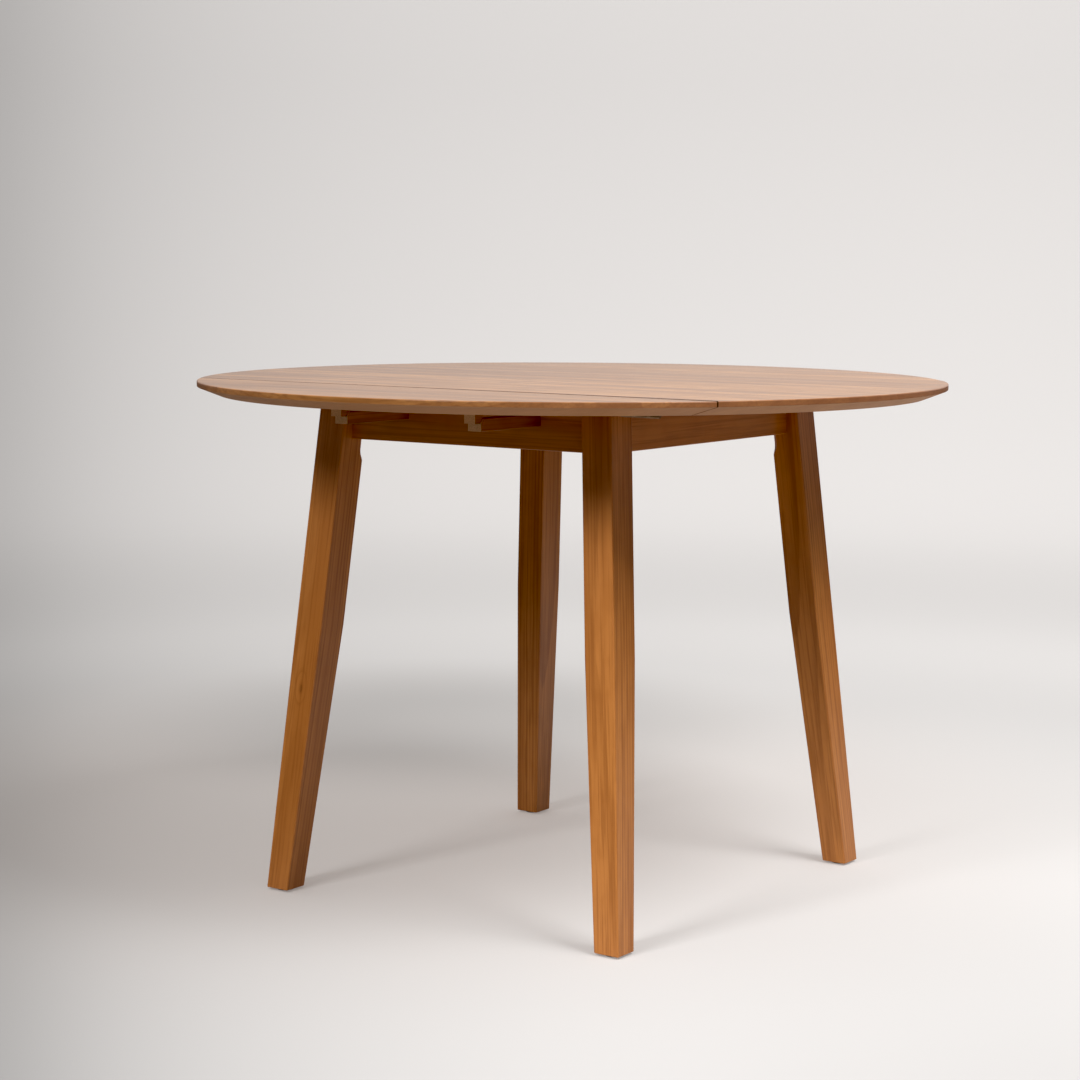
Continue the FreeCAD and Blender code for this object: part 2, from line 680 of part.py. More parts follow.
# Bar guides: a closed channel under the panel from rail to rail, slotted below for the bars' stop pegs
guide_screws = []
for name, hand in HANDS:
    middle = size.bar_offset * hand
    outer = guide_half + size.guide_wall
    body = new_body(f"bar_guide_{name}")
    section = new_sketch(body, "XZ_Plane")
    rectangle(section, (middle - outer, guide_bottom), (middle + outer, under))
    rectangle(section, (middle - guide_half, bar_bottom - size.slide_gap),
              (middle + guide_half, bar_top + size.slide_gap))
    pad(body, section, rail_inner_y * 2)
    slots = new_sketch(body, "XY_Plane", base=(0, 0, guide_bottom))
    room = size.peg_radius + size.slide_gap
    for _, side in SIDES:
        rectangle(slots, (middle - room, (peg_y - bar_travel - room) * side),
                  (middle + room, (peg_y + room) * side))
    pocket(body, slots, size.guide_floor, forward=True)
    holes = new_sketch(body, "XY_Plane", base=(0, 0, guide_bottom))
    circles(holes, pilot_radius, guide_screw_points(hand))
    pocket(body, holes, forward=True)
    recesses = new_sketch(body, "XY_Plane", base=(0, 0, guide_bottom))
    circles(recesses, recess_radius, guide_screw_points(hand))
    pocket(body, recesses, size.guide_recess, forward=True)
    seat = guide_bottom + size.guide_recess
    guide_screws += [screw(point(x, y, seat), UP, under - seat) for x, y in guide_screw_points(hand)]
group("guide_screws", guide_screws)

# Support bars with their stop pegs, and the catch blocks on the leaves
for side_name, side in SIDES:
    catch_screws = []
    for hand_name, hand in HANDS:
        middle = size.bar_offset * hand
        bar = new_body(f"support_bar_{side_name}_{hand_name}")
        profile = new_sketch(bar, "YZ_Plane", base=(0, 0, middle))
        outline(profile, [(bar_end * side, bar_bottom), (bar_tip * side, bar_bottom),
                          (bar_tip * side, bar_top - size.nose_bevel),
                          ((bar_tip - size.nose_bevel) * side, bar_top), (bar_end * side, bar_top)])
        pad(bar, profile, size.bar_width)
        round_edges(bar, size.bar_round,
                    lambda edge: edge.BoundBox.YLength > size.bar_length.value / 2)
        socket = new_sketch(bar, "XY_Plane", base=(0, 0, bar_bottom))
        circles(socket, size.peg_radius + size.thread_play, [(middle, peg_y * side)])
        pocket(bar, socket, size.peg_seat + size.tip_play, forward=True)

        node = f"stop_peg_{side_name}_{hand_name}"
        peg = doc.addObject("Part::Cylinder", node)
        peg.Label = node
        bind(peg, "Radius", size.peg_radius)
        bind(peg, "Height", size.peg_seat + size.peg_stub)
        place = (middle, peg_y * side, bar_bottom - size.peg_stub)
        peg.Placement = Placement(point(*place), Rotation())
        for axis, value in zip("xyz", place):
            peg.setExpression(f"Placement.Base.{axis}", value.text)
        nodes[node] = peg

        catch = new_body(f"catch_block_{side_name}_{hand_name}")
        profile = new_sketch(catch, "YZ_Plane", base=(0, 0, middle))
        inner = bar_tip - size.nose_bevel + size.bevel_gap * ROOT_TWO
        outer = size.seam_offset + size.catch_reach
        low = bar_top - size.nose_bevel
        outline(profile, [(inner * side, under), (inner * side, bar_top),
                          ((inner + size.nose_bevel) * side, low),
                          (outer * side, low), (outer * side, under)])
        pad(catch, profile, size.catch_width)
        hole = new_sketch(catch, "XY_Plane", base=(0, 0, low))
        circles(hole, pilot_radius, [(middle, catch_screw_y * side)])
        pocket(catch, hole, forward=True)
        recess = new_sketch(catch, "XY_Plane", base=(0, 0, low))
        circles(recess, recess_radius, [(middle, catch_screw_y * side)])
        pocket(catch, recess, size.catch_recess, forward=True)
        seat = low + size.catch_recess
        catch_screws.append(screw(point(middle, catch_screw_y * side, seat), UP, under - seat))
    group(f"{side_name}_catch_screws", catch_screws)


def hinge_plate(node, x, y_line, way, tongues, notch):
    """One plate of a hinge: a comb-edged plate, a knuckle on each tongue, the pin's bore and screw holes."""
    body = new_body(node)
    low = under - size.hinge_plate
    near_edge = y_line + size.hinge_edge * way
    notch_edge = y_line + (size.knuckle_radius + size.hinge_gap) * way
    far_edge = y_line + size.hinge_reach * way
    half = size.hinge_length / 2
    plate = new_sketch(body, "XY_Plane", base=(0, 0, low))
    inner_edge = near_edge if notch > 0 else notch_edge
    middle_edge = notch_edge if notch > 0 else near_edge
    step = size.knuckle_length / 2 + size.hinge_gap / 2 * notch
    outline(plate, [(x - half, far_edge), (x - half, inner_edge), (x - step, inner_edge),
                    (x - step, middle_edge), (x + step, middle_edge), (x + step, inner_edge),
                    (x + half, inner_edge), (x + half, far_edge)])
    pad(body, plate, size.hinge_plate, side="One side")
    for start, end in tongues(step, half):
        knuckle = new_sketch(body, "YZ_Plane", base=(0, 0, x + (start + end) / 2))
        circles(knuckle, size.knuckle_radius, [(y_line, pin_height)])
        pad(body, knuckle, end - start)
    bore = new_sketch(body, "YZ_Plane")
    circles(bore, size.pin_radius + size.pin_play, [(y_line, pin_height)])
    pocket(body, bore, side="Symmetric")
    holes = new_sketch(body, "XY_Plane", base=(0, 0, low))
    circles(holes, pilot_radius, hinge_screw_points(x, y_line, way))
    pocket(body, holes, forward=True)
    return body


def outer_tongues(step, half):
    """The fixed plate has a knuckle at each end."""
    return [(-half, -step), (step, half)]


def middle_tongue(step, half):
    """The leaf's plate has one knuckle in the middle."""
    return [(-step, step)]


# Hinges along both seams
pins = []
panel_screws = []
hinge_names = ("left", "middle", "right")
plate_seat = under - size.hinge_plate
for side_name, side in SIDES:
    leaf_screws = []
    line = size.seam_offset * side
    for hinge_name, x in zip(hinge_names, hinge_places):
        hinge_plate(f"{side_name}_hinge_fixed_{hinge_name}", x, line, -side, outer_tongues, 1)
        hinge_plate(f"{side_name}_hinge_leaf_{hinge_name}", x, line, side, middle_tongue, -1)
        pins.append(cylinder(size.pin_radius, point(x - size.hinge_length / 2, line, pin_height),
                             Vector(1, 0, 0), size.hinge_length))
        panel_screws += [screw(point(*spot, plate_seat), UP, size.hinge_plate)
                         for spot in hinge_screw_points(x, line, -side)]
        leaf_screws += [screw(point(*spot, plate_seat), UP, size.hinge_plate)
                        for spot in hinge_screw_points(x, line, side)]
    group(f"{side_name}_leaf_hinge_screws", leaf_screws)
group("hinge_pins", pins)
group("panel_hinge_screws", panel_screws)


def top_bracket(x, y, quarters):
    """An angle bracket: one leg on the rail, one under the panel, with a hole in each."""
    width, reach, plate = size.bracket_width.value, size.bracket_leg.value, size.bracket_plate.value
    upright = Part.makeBox(width, plate, reach, Vector(-width / 2, 0, -reach))
    flat = Part.makeBox(width, reach, plate, Vector(-width / 2, 0, -plate))
    bracket = upright.fuse(flat).removeSplitter()
    hole = size.bracket_hole.value
    bracket = bracket.cut(cylinder(pilot_radius, Vector(0, 0, -hole), Vector(0, 1, 0), size.bracket_plate))
    bracket = bracket.cut(cylinder(pilot_radius, Vector(0, hole, 0), UP * -1, size.bracket_plate))
    bracket.Placement = Placement(point(x, y, under), Rotation(UP, 90.0 * quarters))
    return bracket


# Brackets that hold the panel on the rails
brackets = []
bracket_screws = []
for place in bracket_places:
    brackets.append(top_bracket(*place))
    way = Vector(*bracket_way(place[2]), 0)
    into_rail = point(place[0], place[1], bracket_screw_height) + way * size.bracket_plate.value
    bracket_screws.append(screw(into_rail, way * -1, size.bracket_plate))
    into_panel = point(*bracket_screw_point(*place), under - size.bracket_plate)
    bracket_screws.append(screw(into_panel, UP, size.bracket_plate))
group("top_brackets", brackets)
group("bracket_screws", bracket_screws)

doc.recompute()
for thing in doc.Objects:
    if "Invalid" in thing.State or "Error" in thing.State:
        raise ValueError(f"{thing.Label} failed: {thing.State}")
for node, thing in nodes.items():
    if thing.Shape.isNull() or not thing.Shape.isValid():
        raise ValueError(f"{node} has no valid shape")

os.makedirs("parts", exist_ok=True)
for node, thing in nodes.items():
    thing.Shape.exportStep(f"parts/{node}.step")
print(f"{len(nodes)} sub-parts written")
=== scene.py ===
import math

import bmesh
import bpy
import numpy as np
from mathutils import Euler, Matrix, Vector


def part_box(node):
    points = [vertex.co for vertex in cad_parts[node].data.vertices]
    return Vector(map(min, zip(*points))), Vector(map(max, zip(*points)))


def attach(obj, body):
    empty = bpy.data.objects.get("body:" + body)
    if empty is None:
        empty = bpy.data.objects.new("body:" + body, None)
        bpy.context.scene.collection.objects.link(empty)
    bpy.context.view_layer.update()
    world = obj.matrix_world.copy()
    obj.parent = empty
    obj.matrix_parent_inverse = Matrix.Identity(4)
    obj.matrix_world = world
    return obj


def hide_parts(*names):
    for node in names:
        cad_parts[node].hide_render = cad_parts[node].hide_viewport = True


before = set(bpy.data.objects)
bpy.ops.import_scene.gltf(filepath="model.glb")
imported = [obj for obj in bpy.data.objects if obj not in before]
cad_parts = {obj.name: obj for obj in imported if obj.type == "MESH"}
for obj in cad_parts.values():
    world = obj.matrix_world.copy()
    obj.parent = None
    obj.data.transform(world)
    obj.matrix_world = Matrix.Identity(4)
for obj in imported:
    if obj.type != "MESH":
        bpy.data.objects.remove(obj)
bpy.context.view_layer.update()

# A round drop-leaf table in stained wood, dressed piece by piece in the order in which it is put together.
# Metres, +Z up, X along the grain of the top and the hinge lines, -Y the front.

# Legs: four splayed legs sawn from straight-grained hardwood, stained caramel and lacquered satin.
# The outer faces are straight, the inner ones taper below the knee, and the inner top corner is planed to
# a flat, ending in a double curve, where the corner block and its bolts pull the leg against the rails.
SIDES = (("front", -1), ("rear", 1))
HANDS = (("left", -1), ("right", 1))
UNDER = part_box("centre_panel")[0].z
FLOOR_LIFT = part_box("leg_front_left")[0].z
LEG_TOP = np.array([0.252, 0.273])
LEG_FOOT = np.array([0.312, 0.3345])
LEG_WIDTH = np.array([0.048, 0.052])
FOOT_WIDTH = np.array([0.0395, 0.039])
KNEE = 0.393
LEG_ROUND = 0.002
ROUND_POINTS = 10
FOOT_CHAMFER = 0.001
ROW_OVER_FOOT = 0.03
ROW_OVER_KNEE = 0.42
ROW_UNDER_TOP = 0.69
CORNER_FLAT = 0.008
FLAT_COLUMNS = np.linspace(0.003, CORNER_FLAT + 0.0006, 8)
FLAT_END = 0.652
FLAT_RUNOUT = 0.026
RUNOUT_STEP = 0.002
EDGE_SUPPORT = 0.0004
SHARP_ANGLE = math.radians(14)


def new_piece(name, points, faces, body):
    """A mesh of points and faces as a piece that rides on a body; edges over the sharp angle stay crisp."""
    mesh = bpy.data.meshes.new(name)
    mesh.from_pydata(points, [], faces)
    mesh.shade_smooth()
    mesh.set_sharp_from_angle(angle=SHARP_ANGLE)
    piece = bpy.data.objects.new(name, mesh)
    bpy.context.scene.collection.objects.link(piece)
    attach(piece, body)
    return piece


def tube_faces(rows, columns, ring=False):
    """Quads of a tube of rows x columns points, facing outwards when the columns run anticlockwise seen from
    the side that the rows run towards. In a ring the last row joins the first."""
    row, column = np.meshgrid(np.arange(rows if ring else rows - 1), np.arange(columns), indexing="ij")
    following = (column + 1) % columns
    above = (row + 1) % rows
    corners = [row * columns + column, row * columns + following,
               above * columns + following, above * columns + column]
    return np.stack(corners, -1).reshape(-1, 4)


def capped_faces(rows, columns):
    """A tube's quads, and the two faces that close its ends."""
    ends = [np.arange(columns)[::-1], np.arange(columns) + (rows - 1) * columns]
    return [*tube_faces(rows, columns).tolist(), *[end.tolist() for end in ends]]


def corner_offsets(radius, steps, beside):
    """Steps in from the sharp corner of a section, one pair a point: along the first face for each distance
    beside, round a quarter circle of the radius, and along the second face."""
    turn = np.linspace(0, np.pi / 2, steps)
    arc = np.stack([radius * (1 - np.sin(turn)), radius * (1 - np.cos(turn))], -1)
    before = np.stack([beside[::-1], np.zeros(len(beside))], -1)
    after = np.stack([np.zeros(len(beside)), beside], -1)
    return np.concatenate([before, arc, after])


def leg_points(hand, side):
    """Grid of a leg: a rounded rectangle of points carried up the leg. Outer faces lie on a straight line
    from foot to top, the width grows evenly from foot to knee, and what lies inside the corner's cut is
    moved out along the diagonal on to it. The cut is the flat, then two equal arcs back to the corner."""
    runout_end = FLAT_END - FLAT_RUNOUT
    heights = np.concatenate([[FLOOR_LIFT, FLOOR_LIFT + FOOT_CHAMFER],
                              np.linspace(ROW_OVER_FOOT, KNEE, 8),
                              np.linspace(ROW_OVER_KNEE, runout_end - 2 * RUNOUT_STEP, 6),
                              np.linspace(runout_end - RUNOUT_STEP, FLAT_END, 22),
                              [ROW_UNDER_TOP, UNDER]])
    trim = np.zeros_like(heights)
    trim[0] = FOOT_CHAMFER
    outer = LEG_FOOT + (LEG_TOP - LEG_FOOT) * heights[:, None] / UNDER
    grown = np.minimum(heights / KNEE, 1)[:, None]
    width = FOOT_WIDTH + (LEG_WIDTH - FOOT_WIDTH) * grown
    middle = outer - width / 2
    beside = np.array([LEG_ROUND + EDGE_SUPPORT])
    plain = corner_offsets(LEG_ROUND, ROUND_POINTS, beside)
    planed = corner_offsets(LEG_ROUND, ROUND_POINTS, np.append(beside, FLAT_COLUMNS))
    corners = [(1, 1, plain), (-1, 1, plain), (-1, -1, planed), (1, -1, plain)]
    signs = np.concatenate([np.tile((x, y), (len(steps), 1)) for x, y, steps in corners])
    steps = np.concatenate([steps if x * y < 0 else steps[:, ::-1] for x, y, steps in corners])
    local = signs * (width[:, None] / 2 - trim[:, None, None] - steps[None])
    plan = middle[:, None] + local

    lean = ((LEG_FOOT - LEG_TOP) / UNDER).sum() / math.sqrt(2)
    depth = CORNER_FLAT / math.sqrt(2)
    bend = (FLAT_RUNOUT ** 2 + depth ** 2) / (4 * depth)
    run = np.clip((FLAT_END - heights) * math.hypot(1, lean), 0, FLAT_RUNOUT)
    near = np.minimum(run, FLAT_RUNOUT - run)
    rise = bend - np.sqrt(bend ** 2 - near ** 2)
    rise = np.where(run < FLAT_RUNOUT / 2, rise, depth - rise)
    corner = (outer - LEG_WIDTH).sum(-1) / math.sqrt(2)
    cut = np.where(run < FLAT_RUNOUT, corner + depth - rise, 0)
    missing = np.maximum(cut[:, None] - plan.sum(-1) / math.sqrt(2), 0)
    plan = plan + missing[..., None] / math.sqrt(2)

    ways = np.array([hand, side])
    up = np.broadcast_to(heights[:, None, None], plan.shape[:2] + (1,))
    return np.concatenate([plan * ways, up], -1), np.concatenate([up, plan - middle[:, None]], -1)


def give_grain(piece, grain):
    """Store each point's place in its timber, grain along the first axis, for the material to read."""
    layer = piece.data.attributes.new("grain", "FLOAT_VECTOR", "POINT")
    layer.data.foreach_set("vector", grain.astype(np.float32).ravel())


def add(tree, kind, sockets=(), **settings):
    """A shader node with its settings; each of its sockets gets a value or a link."""
    node = tree.nodes.new(kind)
    for name, value in settings.items():
        setattr(node, name, value)
    for key, value in dict(sockets).items():
        if isinstance(value, bpy.types.NodeSocket):
            tree.links.new(value, node.inputs[key])
        else:
            node.inputs[key].default_value = value
    return node


def math_node(tree, operation, *values):
    """One step of arithmetic on numbers or sockets."""
    return add(tree, "ShaderNodeMath", dict(enumerate(values)), operation=operation).outputs[0]


def vector_node(tree, operation, *values):
    """One step of arithmetic on vectors or sockets."""
    return add(tree, "ShaderNodeVectorMath", dict(enumerate(values)), operation=operation).outputs[0]


def ramp(tree, value, low, high):
    """A smooth step from 0 at low to 1 at high."""
    sockets = {"Value": value, "From Min": low, "From Max": high}
    return add(tree, "ShaderNodeMapRange", sockets, interpolation_type="SMOOTHSTEP").outputs["Result"]


def noise(tree, place, stretch, detail):
    """Smooth noise from 0 to 1, stretched along the grain: stretch is its scale per metre on each axis."""
    sockets = {"Vector": vector_node(tree, "MULTIPLY", place, stretch), "Scale": 1.0, "Detail": detail}
    return add(tree, "ShaderNodeTexNoise", sockets).outputs["Fac"]


STRIP_SHIFT = (5.0, 0.16, 0.07)
STRIP_JOINT = (0.0006, 0.0001)
KNOT_SQUEEZE = (0.4, 1.0, 0.25)
KNOT_REACH = 0.016
KNOT_PULL = 0.011
KNOT_CORE = (0.0035, 0.0012)
SUMMER = (0.45, 0.93)
WINTER = (1.0, 0.95)
FAINTEST_RING = 0.25
WANDER_SCALE = (1.3, 7.0, 7.0)
FIBRE_SCALE = (6.0, 290.0, 290.0)
TONE_SCALE = (1.4, 34.0, 34.0)
MOTTLE_SCALE = (22.0, 38.0, 38.0)


def wood_figure():
    """Node group for the figure of timber glued from strips. Growth rings are shells about a pith that lies
    along X: the distance from it, wandering with a slow noise, divided by the ring width. Each strip is cut
    from another place of the tree. A knot pulls the rings aside and darkens its own core."""
    tree = bpy.data.node_groups.new("wood_figure", "ShaderNodeTree")
    for name, kind in (("Place", "Vector"), ("Pith", "Vector"), ("Knot", "Vector"), ("Ring width", "Float"),
                       ("Wander", "Float"), ("Strip width", "Float")):
        tree.interface.new_socket(name, in_out="INPUT", socket_type=f"NodeSocket{kind}")
    for name in ("Rings", "Fibre", "Tone", "Mottle", "Strip", "Joint", "Core"):
        tree.interface.new_socket(name, in_out="OUTPUT", socket_type="NodeSocketFloat")
    given = tree.nodes.new("NodeGroupInput").outputs
    place = given["Place"]

    across = add(tree, "ShaderNodeSeparateXYZ", {0: place}).outputs["Y"]
    strips = math_node(tree, "ADD", math_node(tree, "DIVIDE", across, given["Strip width"]), 0.5)
    chance = add(tree, "ShaderNodeTexWhiteNoise", {"W": math_node(tree, "FLOOR", strips)},
                 noise_dimensions="1D")
    shift = vector_node(tree, "MULTIPLY", chance.outputs["Color"], STRIP_SHIFT)
    cut_from = vector_node(tree, "ADD", place, shift)

    knot_way = vector_node(tree, "MULTIPLY", vector_node(tree, "SUBTRACT", place, given["Knot"]),
                           KNOT_SQUEEZE)
    knot_far = add(tree, "ShaderNodeVectorMath", {0: knot_way}, operation="LENGTH").outputs["Value"]
    swirl = math_node(tree, "MULTIPLY", ramp(tree, knot_far, KNOT_REACH, 0.0), KNOT_PULL)

    slow = math_node(tree, "SUBTRACT", noise(tree, cut_from, WANDER_SCALE, 1.0), 0.5)
    wander = math_node(tree, "MULTIPLY", slow, given["Wander"])
    from_pith = vector_node(tree, "SUBTRACT", cut_from, given["Pith"])
    from_pith = add(tree, "ShaderNodeSeparateXYZ", {0: from_pith}).outputs
    square = [math_node(tree, "POWER", from_pith[axis], 2.0) for axis in "YZ"]
    radius = math_node(tree, "SQRT", math_node(tree, "ADD", *square))
    radius = math_node(tree, "ADD", math_node(tree, "ADD", radius, wander), swirl)
    years = math_node(tree, "DIVIDE", radius, given["Ring width"])
    season = math_node(tree, "FRACT", years)
    late = math_node(tree, "MULTIPLY", ramp(tree, season, *SUMMER), ramp(tree, season, *WINTER))
    vigour = add(tree, "ShaderNodeTexWhiteNoise", {"W": math_node(tree, "FLOOR", years)},
                 noise_dimensions="1D").outputs["Value"]
    strength = math_node(tree, "MULTIPLY_ADD", vigour, 1 - FAINTEST_RING, FAINTEST_RING)
    rings = math_node(tree, "MULTIPLY", late, strength)

    edge = math_node(tree, "ABSOLUTE", math_node(tree, "SUBTRACT", math_node(tree, "FRACT", strips), 0.5))
    edge_far = math_node(tree, "MULTIPLY", math_node(tree, "SUBTRACT", 0.5, edge), given["Strip width"])

    made = tree.nodes.new("NodeGroupOutput").inputs
    for name, value in (("Rings", rings),
                        ("Fibre", noise(tree, cut_from, FIBRE_SCALE, 4.0)),
                        ("Tone", noise(tree, cut_from, TONE_SCALE, 2.0)),
                        ("Mottle", noise(tree, cut_from, MOTTLE_SCALE, 2.0)),
                        ("Strip", chance.outputs["Value"]),
                        ("Joint", ramp(tree, edge_far, *STRIP_JOINT)),
                        ("Core", ramp(tree, knot_far, *KNOT_CORE))):
        tree.links.new(value, made[name])
    return tree


FIGURE = wood_figure()
NO_STRIPS = 50.0
NO_KNOT = (90.0, 90.0, 90.0)
KNOT_DARKNESS = 0.35
GLOSS_RANGE = 0.16


def blend(tree, share, first, second, kind="MIX"):
    """Two colours mixed by a share from 0 to 1."""
    mix = add(tree, "ShaderNodeMix", {"Factor": share}, data_type="RGBA", blend_type=kind)
    for key, colour in (("A", first), ("B", second)):
        socket = next(s for s in mix.inputs if s.name == key and s.type == "RGBA")
        if isinstance(colour, bpy.types.NodeSocket):
            tree.links.new(colour, socket)
        else:
            socket.default_value = (*colour, 1.0)
    return next(s for s in mix.outputs if s.type == "RGBA")


def new_material(name):
    """A material, its node tree and its shader."""
    material = bpy.data.materials.new(name)
    material.use_nodes = True
    return material, material.node_tree, material.node_tree.nodes["Principled BSDF"]


def grain_place(tree, turn=None):
    """Where a point lies in its timber: the stored grain, or the object's own place turned to the grain."""
    if turn is None:
        return add(tree, "ShaderNodeAttribute", attribute_name="grain").outputs["Vector"]
    seen = add(tree, "ShaderNodeTexCoord").outputs["Object"]
    return add(tree, "ShaderNodeMapping", {"Vector": seen, "Rotation": turn}).outputs["Vector"]


def wood(name, colours, rough, pith, ring_width, wander, ring_share, strip_width=NO_STRIPS, knot=NO_KNOT,
         turn=None):
    """Stained and lacquered wood: colours are early wood, late wood and the darker streaks. Over the early
    wood lie the layers of the figure, each with its mask, its strength and its colour."""
    material, tree, shader = new_material(name)
    figure = add(tree, "ShaderNodeGroup", node_tree=FIGURE)
    tree.links.new(grain_place(tree, turn), figure.inputs["Place"])
    for key, value in (("Pith", pith), ("Knot", knot), ("Ring width", ring_width), ("Wander", wander),
                       ("Strip width", strip_width)):
        figure.inputs[key].default_value = value
    early, late, streak = colours
    made = figure.outputs
    knot_core = [part * KNOT_DARKNESS for part in late]
    colour = early
    for mask, strength, layer in ((ramp(tree, made["Tone"], 0.36, 0.66), 1.0, streak),
                                  (ramp(tree, made["Mottle"], 0.42, 0.7), 0.45, streak),
                                  (made["Rings"], ring_share, late),
                                  (ramp(tree, made["Fibre"], 0.46, 0.64), 0.5, late),
                                  (made["Strip"], 0.45, streak),
                                  (made["Joint"], 0.15, late),
                                  (made["Core"], 0.4, knot_core)):
        colour = blend(tree, math_node(tree, "MULTIPLY", mask, strength), colour, layer)
    tree.links.new(colour, shader.inputs["Base Color"])
    gloss = math_node(tree, "MULTIPLY_ADD", made["Fibre"], GLOSS_RANGE, rough - GLOSS_RANGE / 2)
    tree.links.new(gloss, shader.inputs["Roughness"])
    relief = math_node(tree, "MULTIPLY_ADD", made["Rings"], -0.4, made["Fibre"])
    bump = add(tree, "ShaderNodeBump", {"Height": relief, "Strength": 0.12, "Distance": 0.0004})
    tree.links.new(bump.outputs["Normal"], shader.inputs["Normal"])
    return material


CARAMEL = ((0.52, 0.205, 0.054), (0.20, 0.060, 0.012), (0.38, 0.136, 0.032))
leg_wood = wood("leg_wood", CARAMEL, rough=0.36, pith=(0.0, 0.012, -0.07), ring_width=0.0062, wander=0.018,
                ring_share=0.65, knot=(0.302, 0.0, 0.0235))
leg_wood.node_tree.nodes["Principled BSDF"].inputs["Specular IOR Level"].default_value = 0.35
timber_apart = np.array([3.7, 0.0, 0.0])
for number, (side_name, side, hand_name, hand) in enumerate(
        (*first, *second) for first in SIDES for second in HANDS):
    node = f"leg_{side_name}_{hand_name}"
    points, grain = leg_points(hand, side)
    rows, columns = points.shape[:2]
    faces = capped_faces(rows, columns)
    if hand * side < 0:
        faces = [face[::-1] for face in faces]
    piece = new_piece(f"{node}_timber", points.reshape(-1, 3), faces, "frame")
    # The timber of one leg stands the other way round: its rings show on the other two faces.
    if node == "leg_rear_left":
        grain = grain[..., [0, 2, 1]]
    give_grain(piece, grain.reshape(-1, 3) + timber_apart * number)
    piece.data.materials.append(leg_wood)
    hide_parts(node)


def dress(material, *names):
    """Give a finish to pieces that keep their own shape."""
    for name in names:
        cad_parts[name].material_slots[0].material = material


# Foot glides: a hard brown plastic disc with a rounded rim, nailed under each foot through a dish in its
# middle, so that the table slides on a floor.
GLIDE_RADIUS = 0.013
GLIDE_EASE = 0.0010
DISH_DEPTH = 0.0008
DISH_MIDDLE = 0.0030
DISH_FLOOR = 0.0036
DISH_MOUTH = 0.0042
GLIDE_PROFILE = ((DISH_MIDDLE, DISH_DEPTH), (DISH_FLOOR, DISH_DEPTH), (DISH_MOUTH, 0.0),
                 (GLIDE_RADIUS - GLIDE_EASE, 0.0), (GLIDE_RADIUS - 0.3 * GLIDE_EASE, 0.3 * GLIDE_EASE),
                 (GLIDE_RADIUS, GLIDE_EASE), (GLIDE_RADIUS, FLOOR_LIFT))
TURNED_STEPS = 48


def turned(profile, steps):
    """A profile of (radius, height) pairs carried round Z in even steps: each pair becomes a ring."""
    angle = np.linspace(0, 2 * np.pi, steps, endpoint=False)
    radius, height = np.array(profile).T
    flat = radius[:, None, None] * np.stack([np.cos(angle), np.sin(angle)], -1)
    return np.concatenate([flat, np.broadcast_to(height[:, None, None], (*flat.shape[:2], 1))], -1)


glide_plastic, tree, shader = new_material("glide_plastic")
mottle = noise(tree, add(tree, "ShaderNodeTexCoord").outputs["Object"], (900.0, 900.0, 900.0), 2.0)
tree.links.new(blend(tree, mottle, (0.030, 0.022, 0.018), (0.050, 0.036, 0.028)), shader.inputs["Base Color"])
tree.links.new(math_node(tree, "MULTIPLY_ADD", mottle, 0.2, 0.4), shader.inputs["Roughness"])
for node in [f"glide_{side}_{hand}" for side, _ in SIDES for hand, _ in HANDS]:
    low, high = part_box(node)
    points = turned(GLIDE_PROFILE, TURNED_STEPS) + ((low.x + high.x) / 2, (low.y + high.y) / 2, low.z)
    faces = capped_faces(len(GLIDE_PROFILE), TURNED_STEPS)
    piece = new_piece(f"{node}_disc", points.reshape(-1, 3), faces, "frame")
    piece.data.materials.append(glide_plastic)
    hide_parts(node)

# Rails: four boards on edge between the legs, of the same stained wood, their lower edges rounded over.
# The long ones have two windows each, where the support bars slide through.
along_x = (0.0, 0.0, 0.0)
along_y = (0.0, 0.0, math.radians(-90))
long_rail_wood = wood("long_rail_wood", CARAMEL, rough=0.36, pith=(0.0, 0.0, 0.60), ring_width=0.006,
                      wander=0.04, ring_share=0.35, turn=along_x)
short_rail_wood = wood("short_rail_wood", CARAMEL, rough=0.36, pith=(0.0, 0.0, 0.60), ring_width=0.006,
                       wander=0.04, ring_share=0.35, turn=along_y)
dress(long_rail_wood, "front_rail", "rear_rail")
dress(short_rail_wood, "left_rail", "right_rail")

# Corner blocks: triangular blocks sawn from pale wood and left unfinished, one in each corner of the frame.
# They hold each leg between its two rails.
PALE = ((0.60, 0.40, 0.21), (0.42, 0.24, 0.10), (0.52, 0.33, 0.16))
upright = (0.0, math.radians(90), 0.0)
block_wood = wood("block_wood", PALE, rough=0.62, pith=(0.0, 0.08, 0.05), ring_width=0.004, wander=0.02,
                  ring_share=0.5, turn=upright)
dress(block_wood, *[f"corner_block_{side}_{hand}" for side, _ in SIDES for hand, _ in HANDS])

# Bolts, washers, nuts and screws of the corner blocks: zinc-plated steel. Two hanger bolts in each leg come
# through its block to a washer and a nut, and a screw on each side holds the block to a rail.
RAIL_INSIDE = np.array([-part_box("left_rail")[1].x, -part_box("front_rail")[1].y])
RAIL_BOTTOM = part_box("front_rail")[0].z
BLOCK_FACE = 0.085
BLOCK_LINE = RAIL_INSIDE.sum() / math.sqrt(2) - BLOCK_FACE / 2
BLOCK_MIDDLE = 0.031
BLOCK_GRIP = 0.014
BLOCK_SCREW_INSET = 0.022
BOLT_LIFTS = (0.017, 0.045)
BOLT_HEIGHTS = [RAIL_BOTTOM + lift for lift in BOLT_LIFTS]
BOLT_RADIUS = 0.004
BOLT_END = 0.003
BOLT_TAIL = 0.016
BOLT_BITE = 0.040
THREAD_PITCH = 0.00125
THREAD_DEPTH = 0.0007
THREAD_STEPS = 8
WASHER_RADIUS = 0.010
WASHER_THICKNESS = 0.0016
WASHER_EASE = 0.0003
WASHER_MOUTH = 0.0044
NUT_CORNER = 0.0075
NUT_HEIGHT = 0.0065
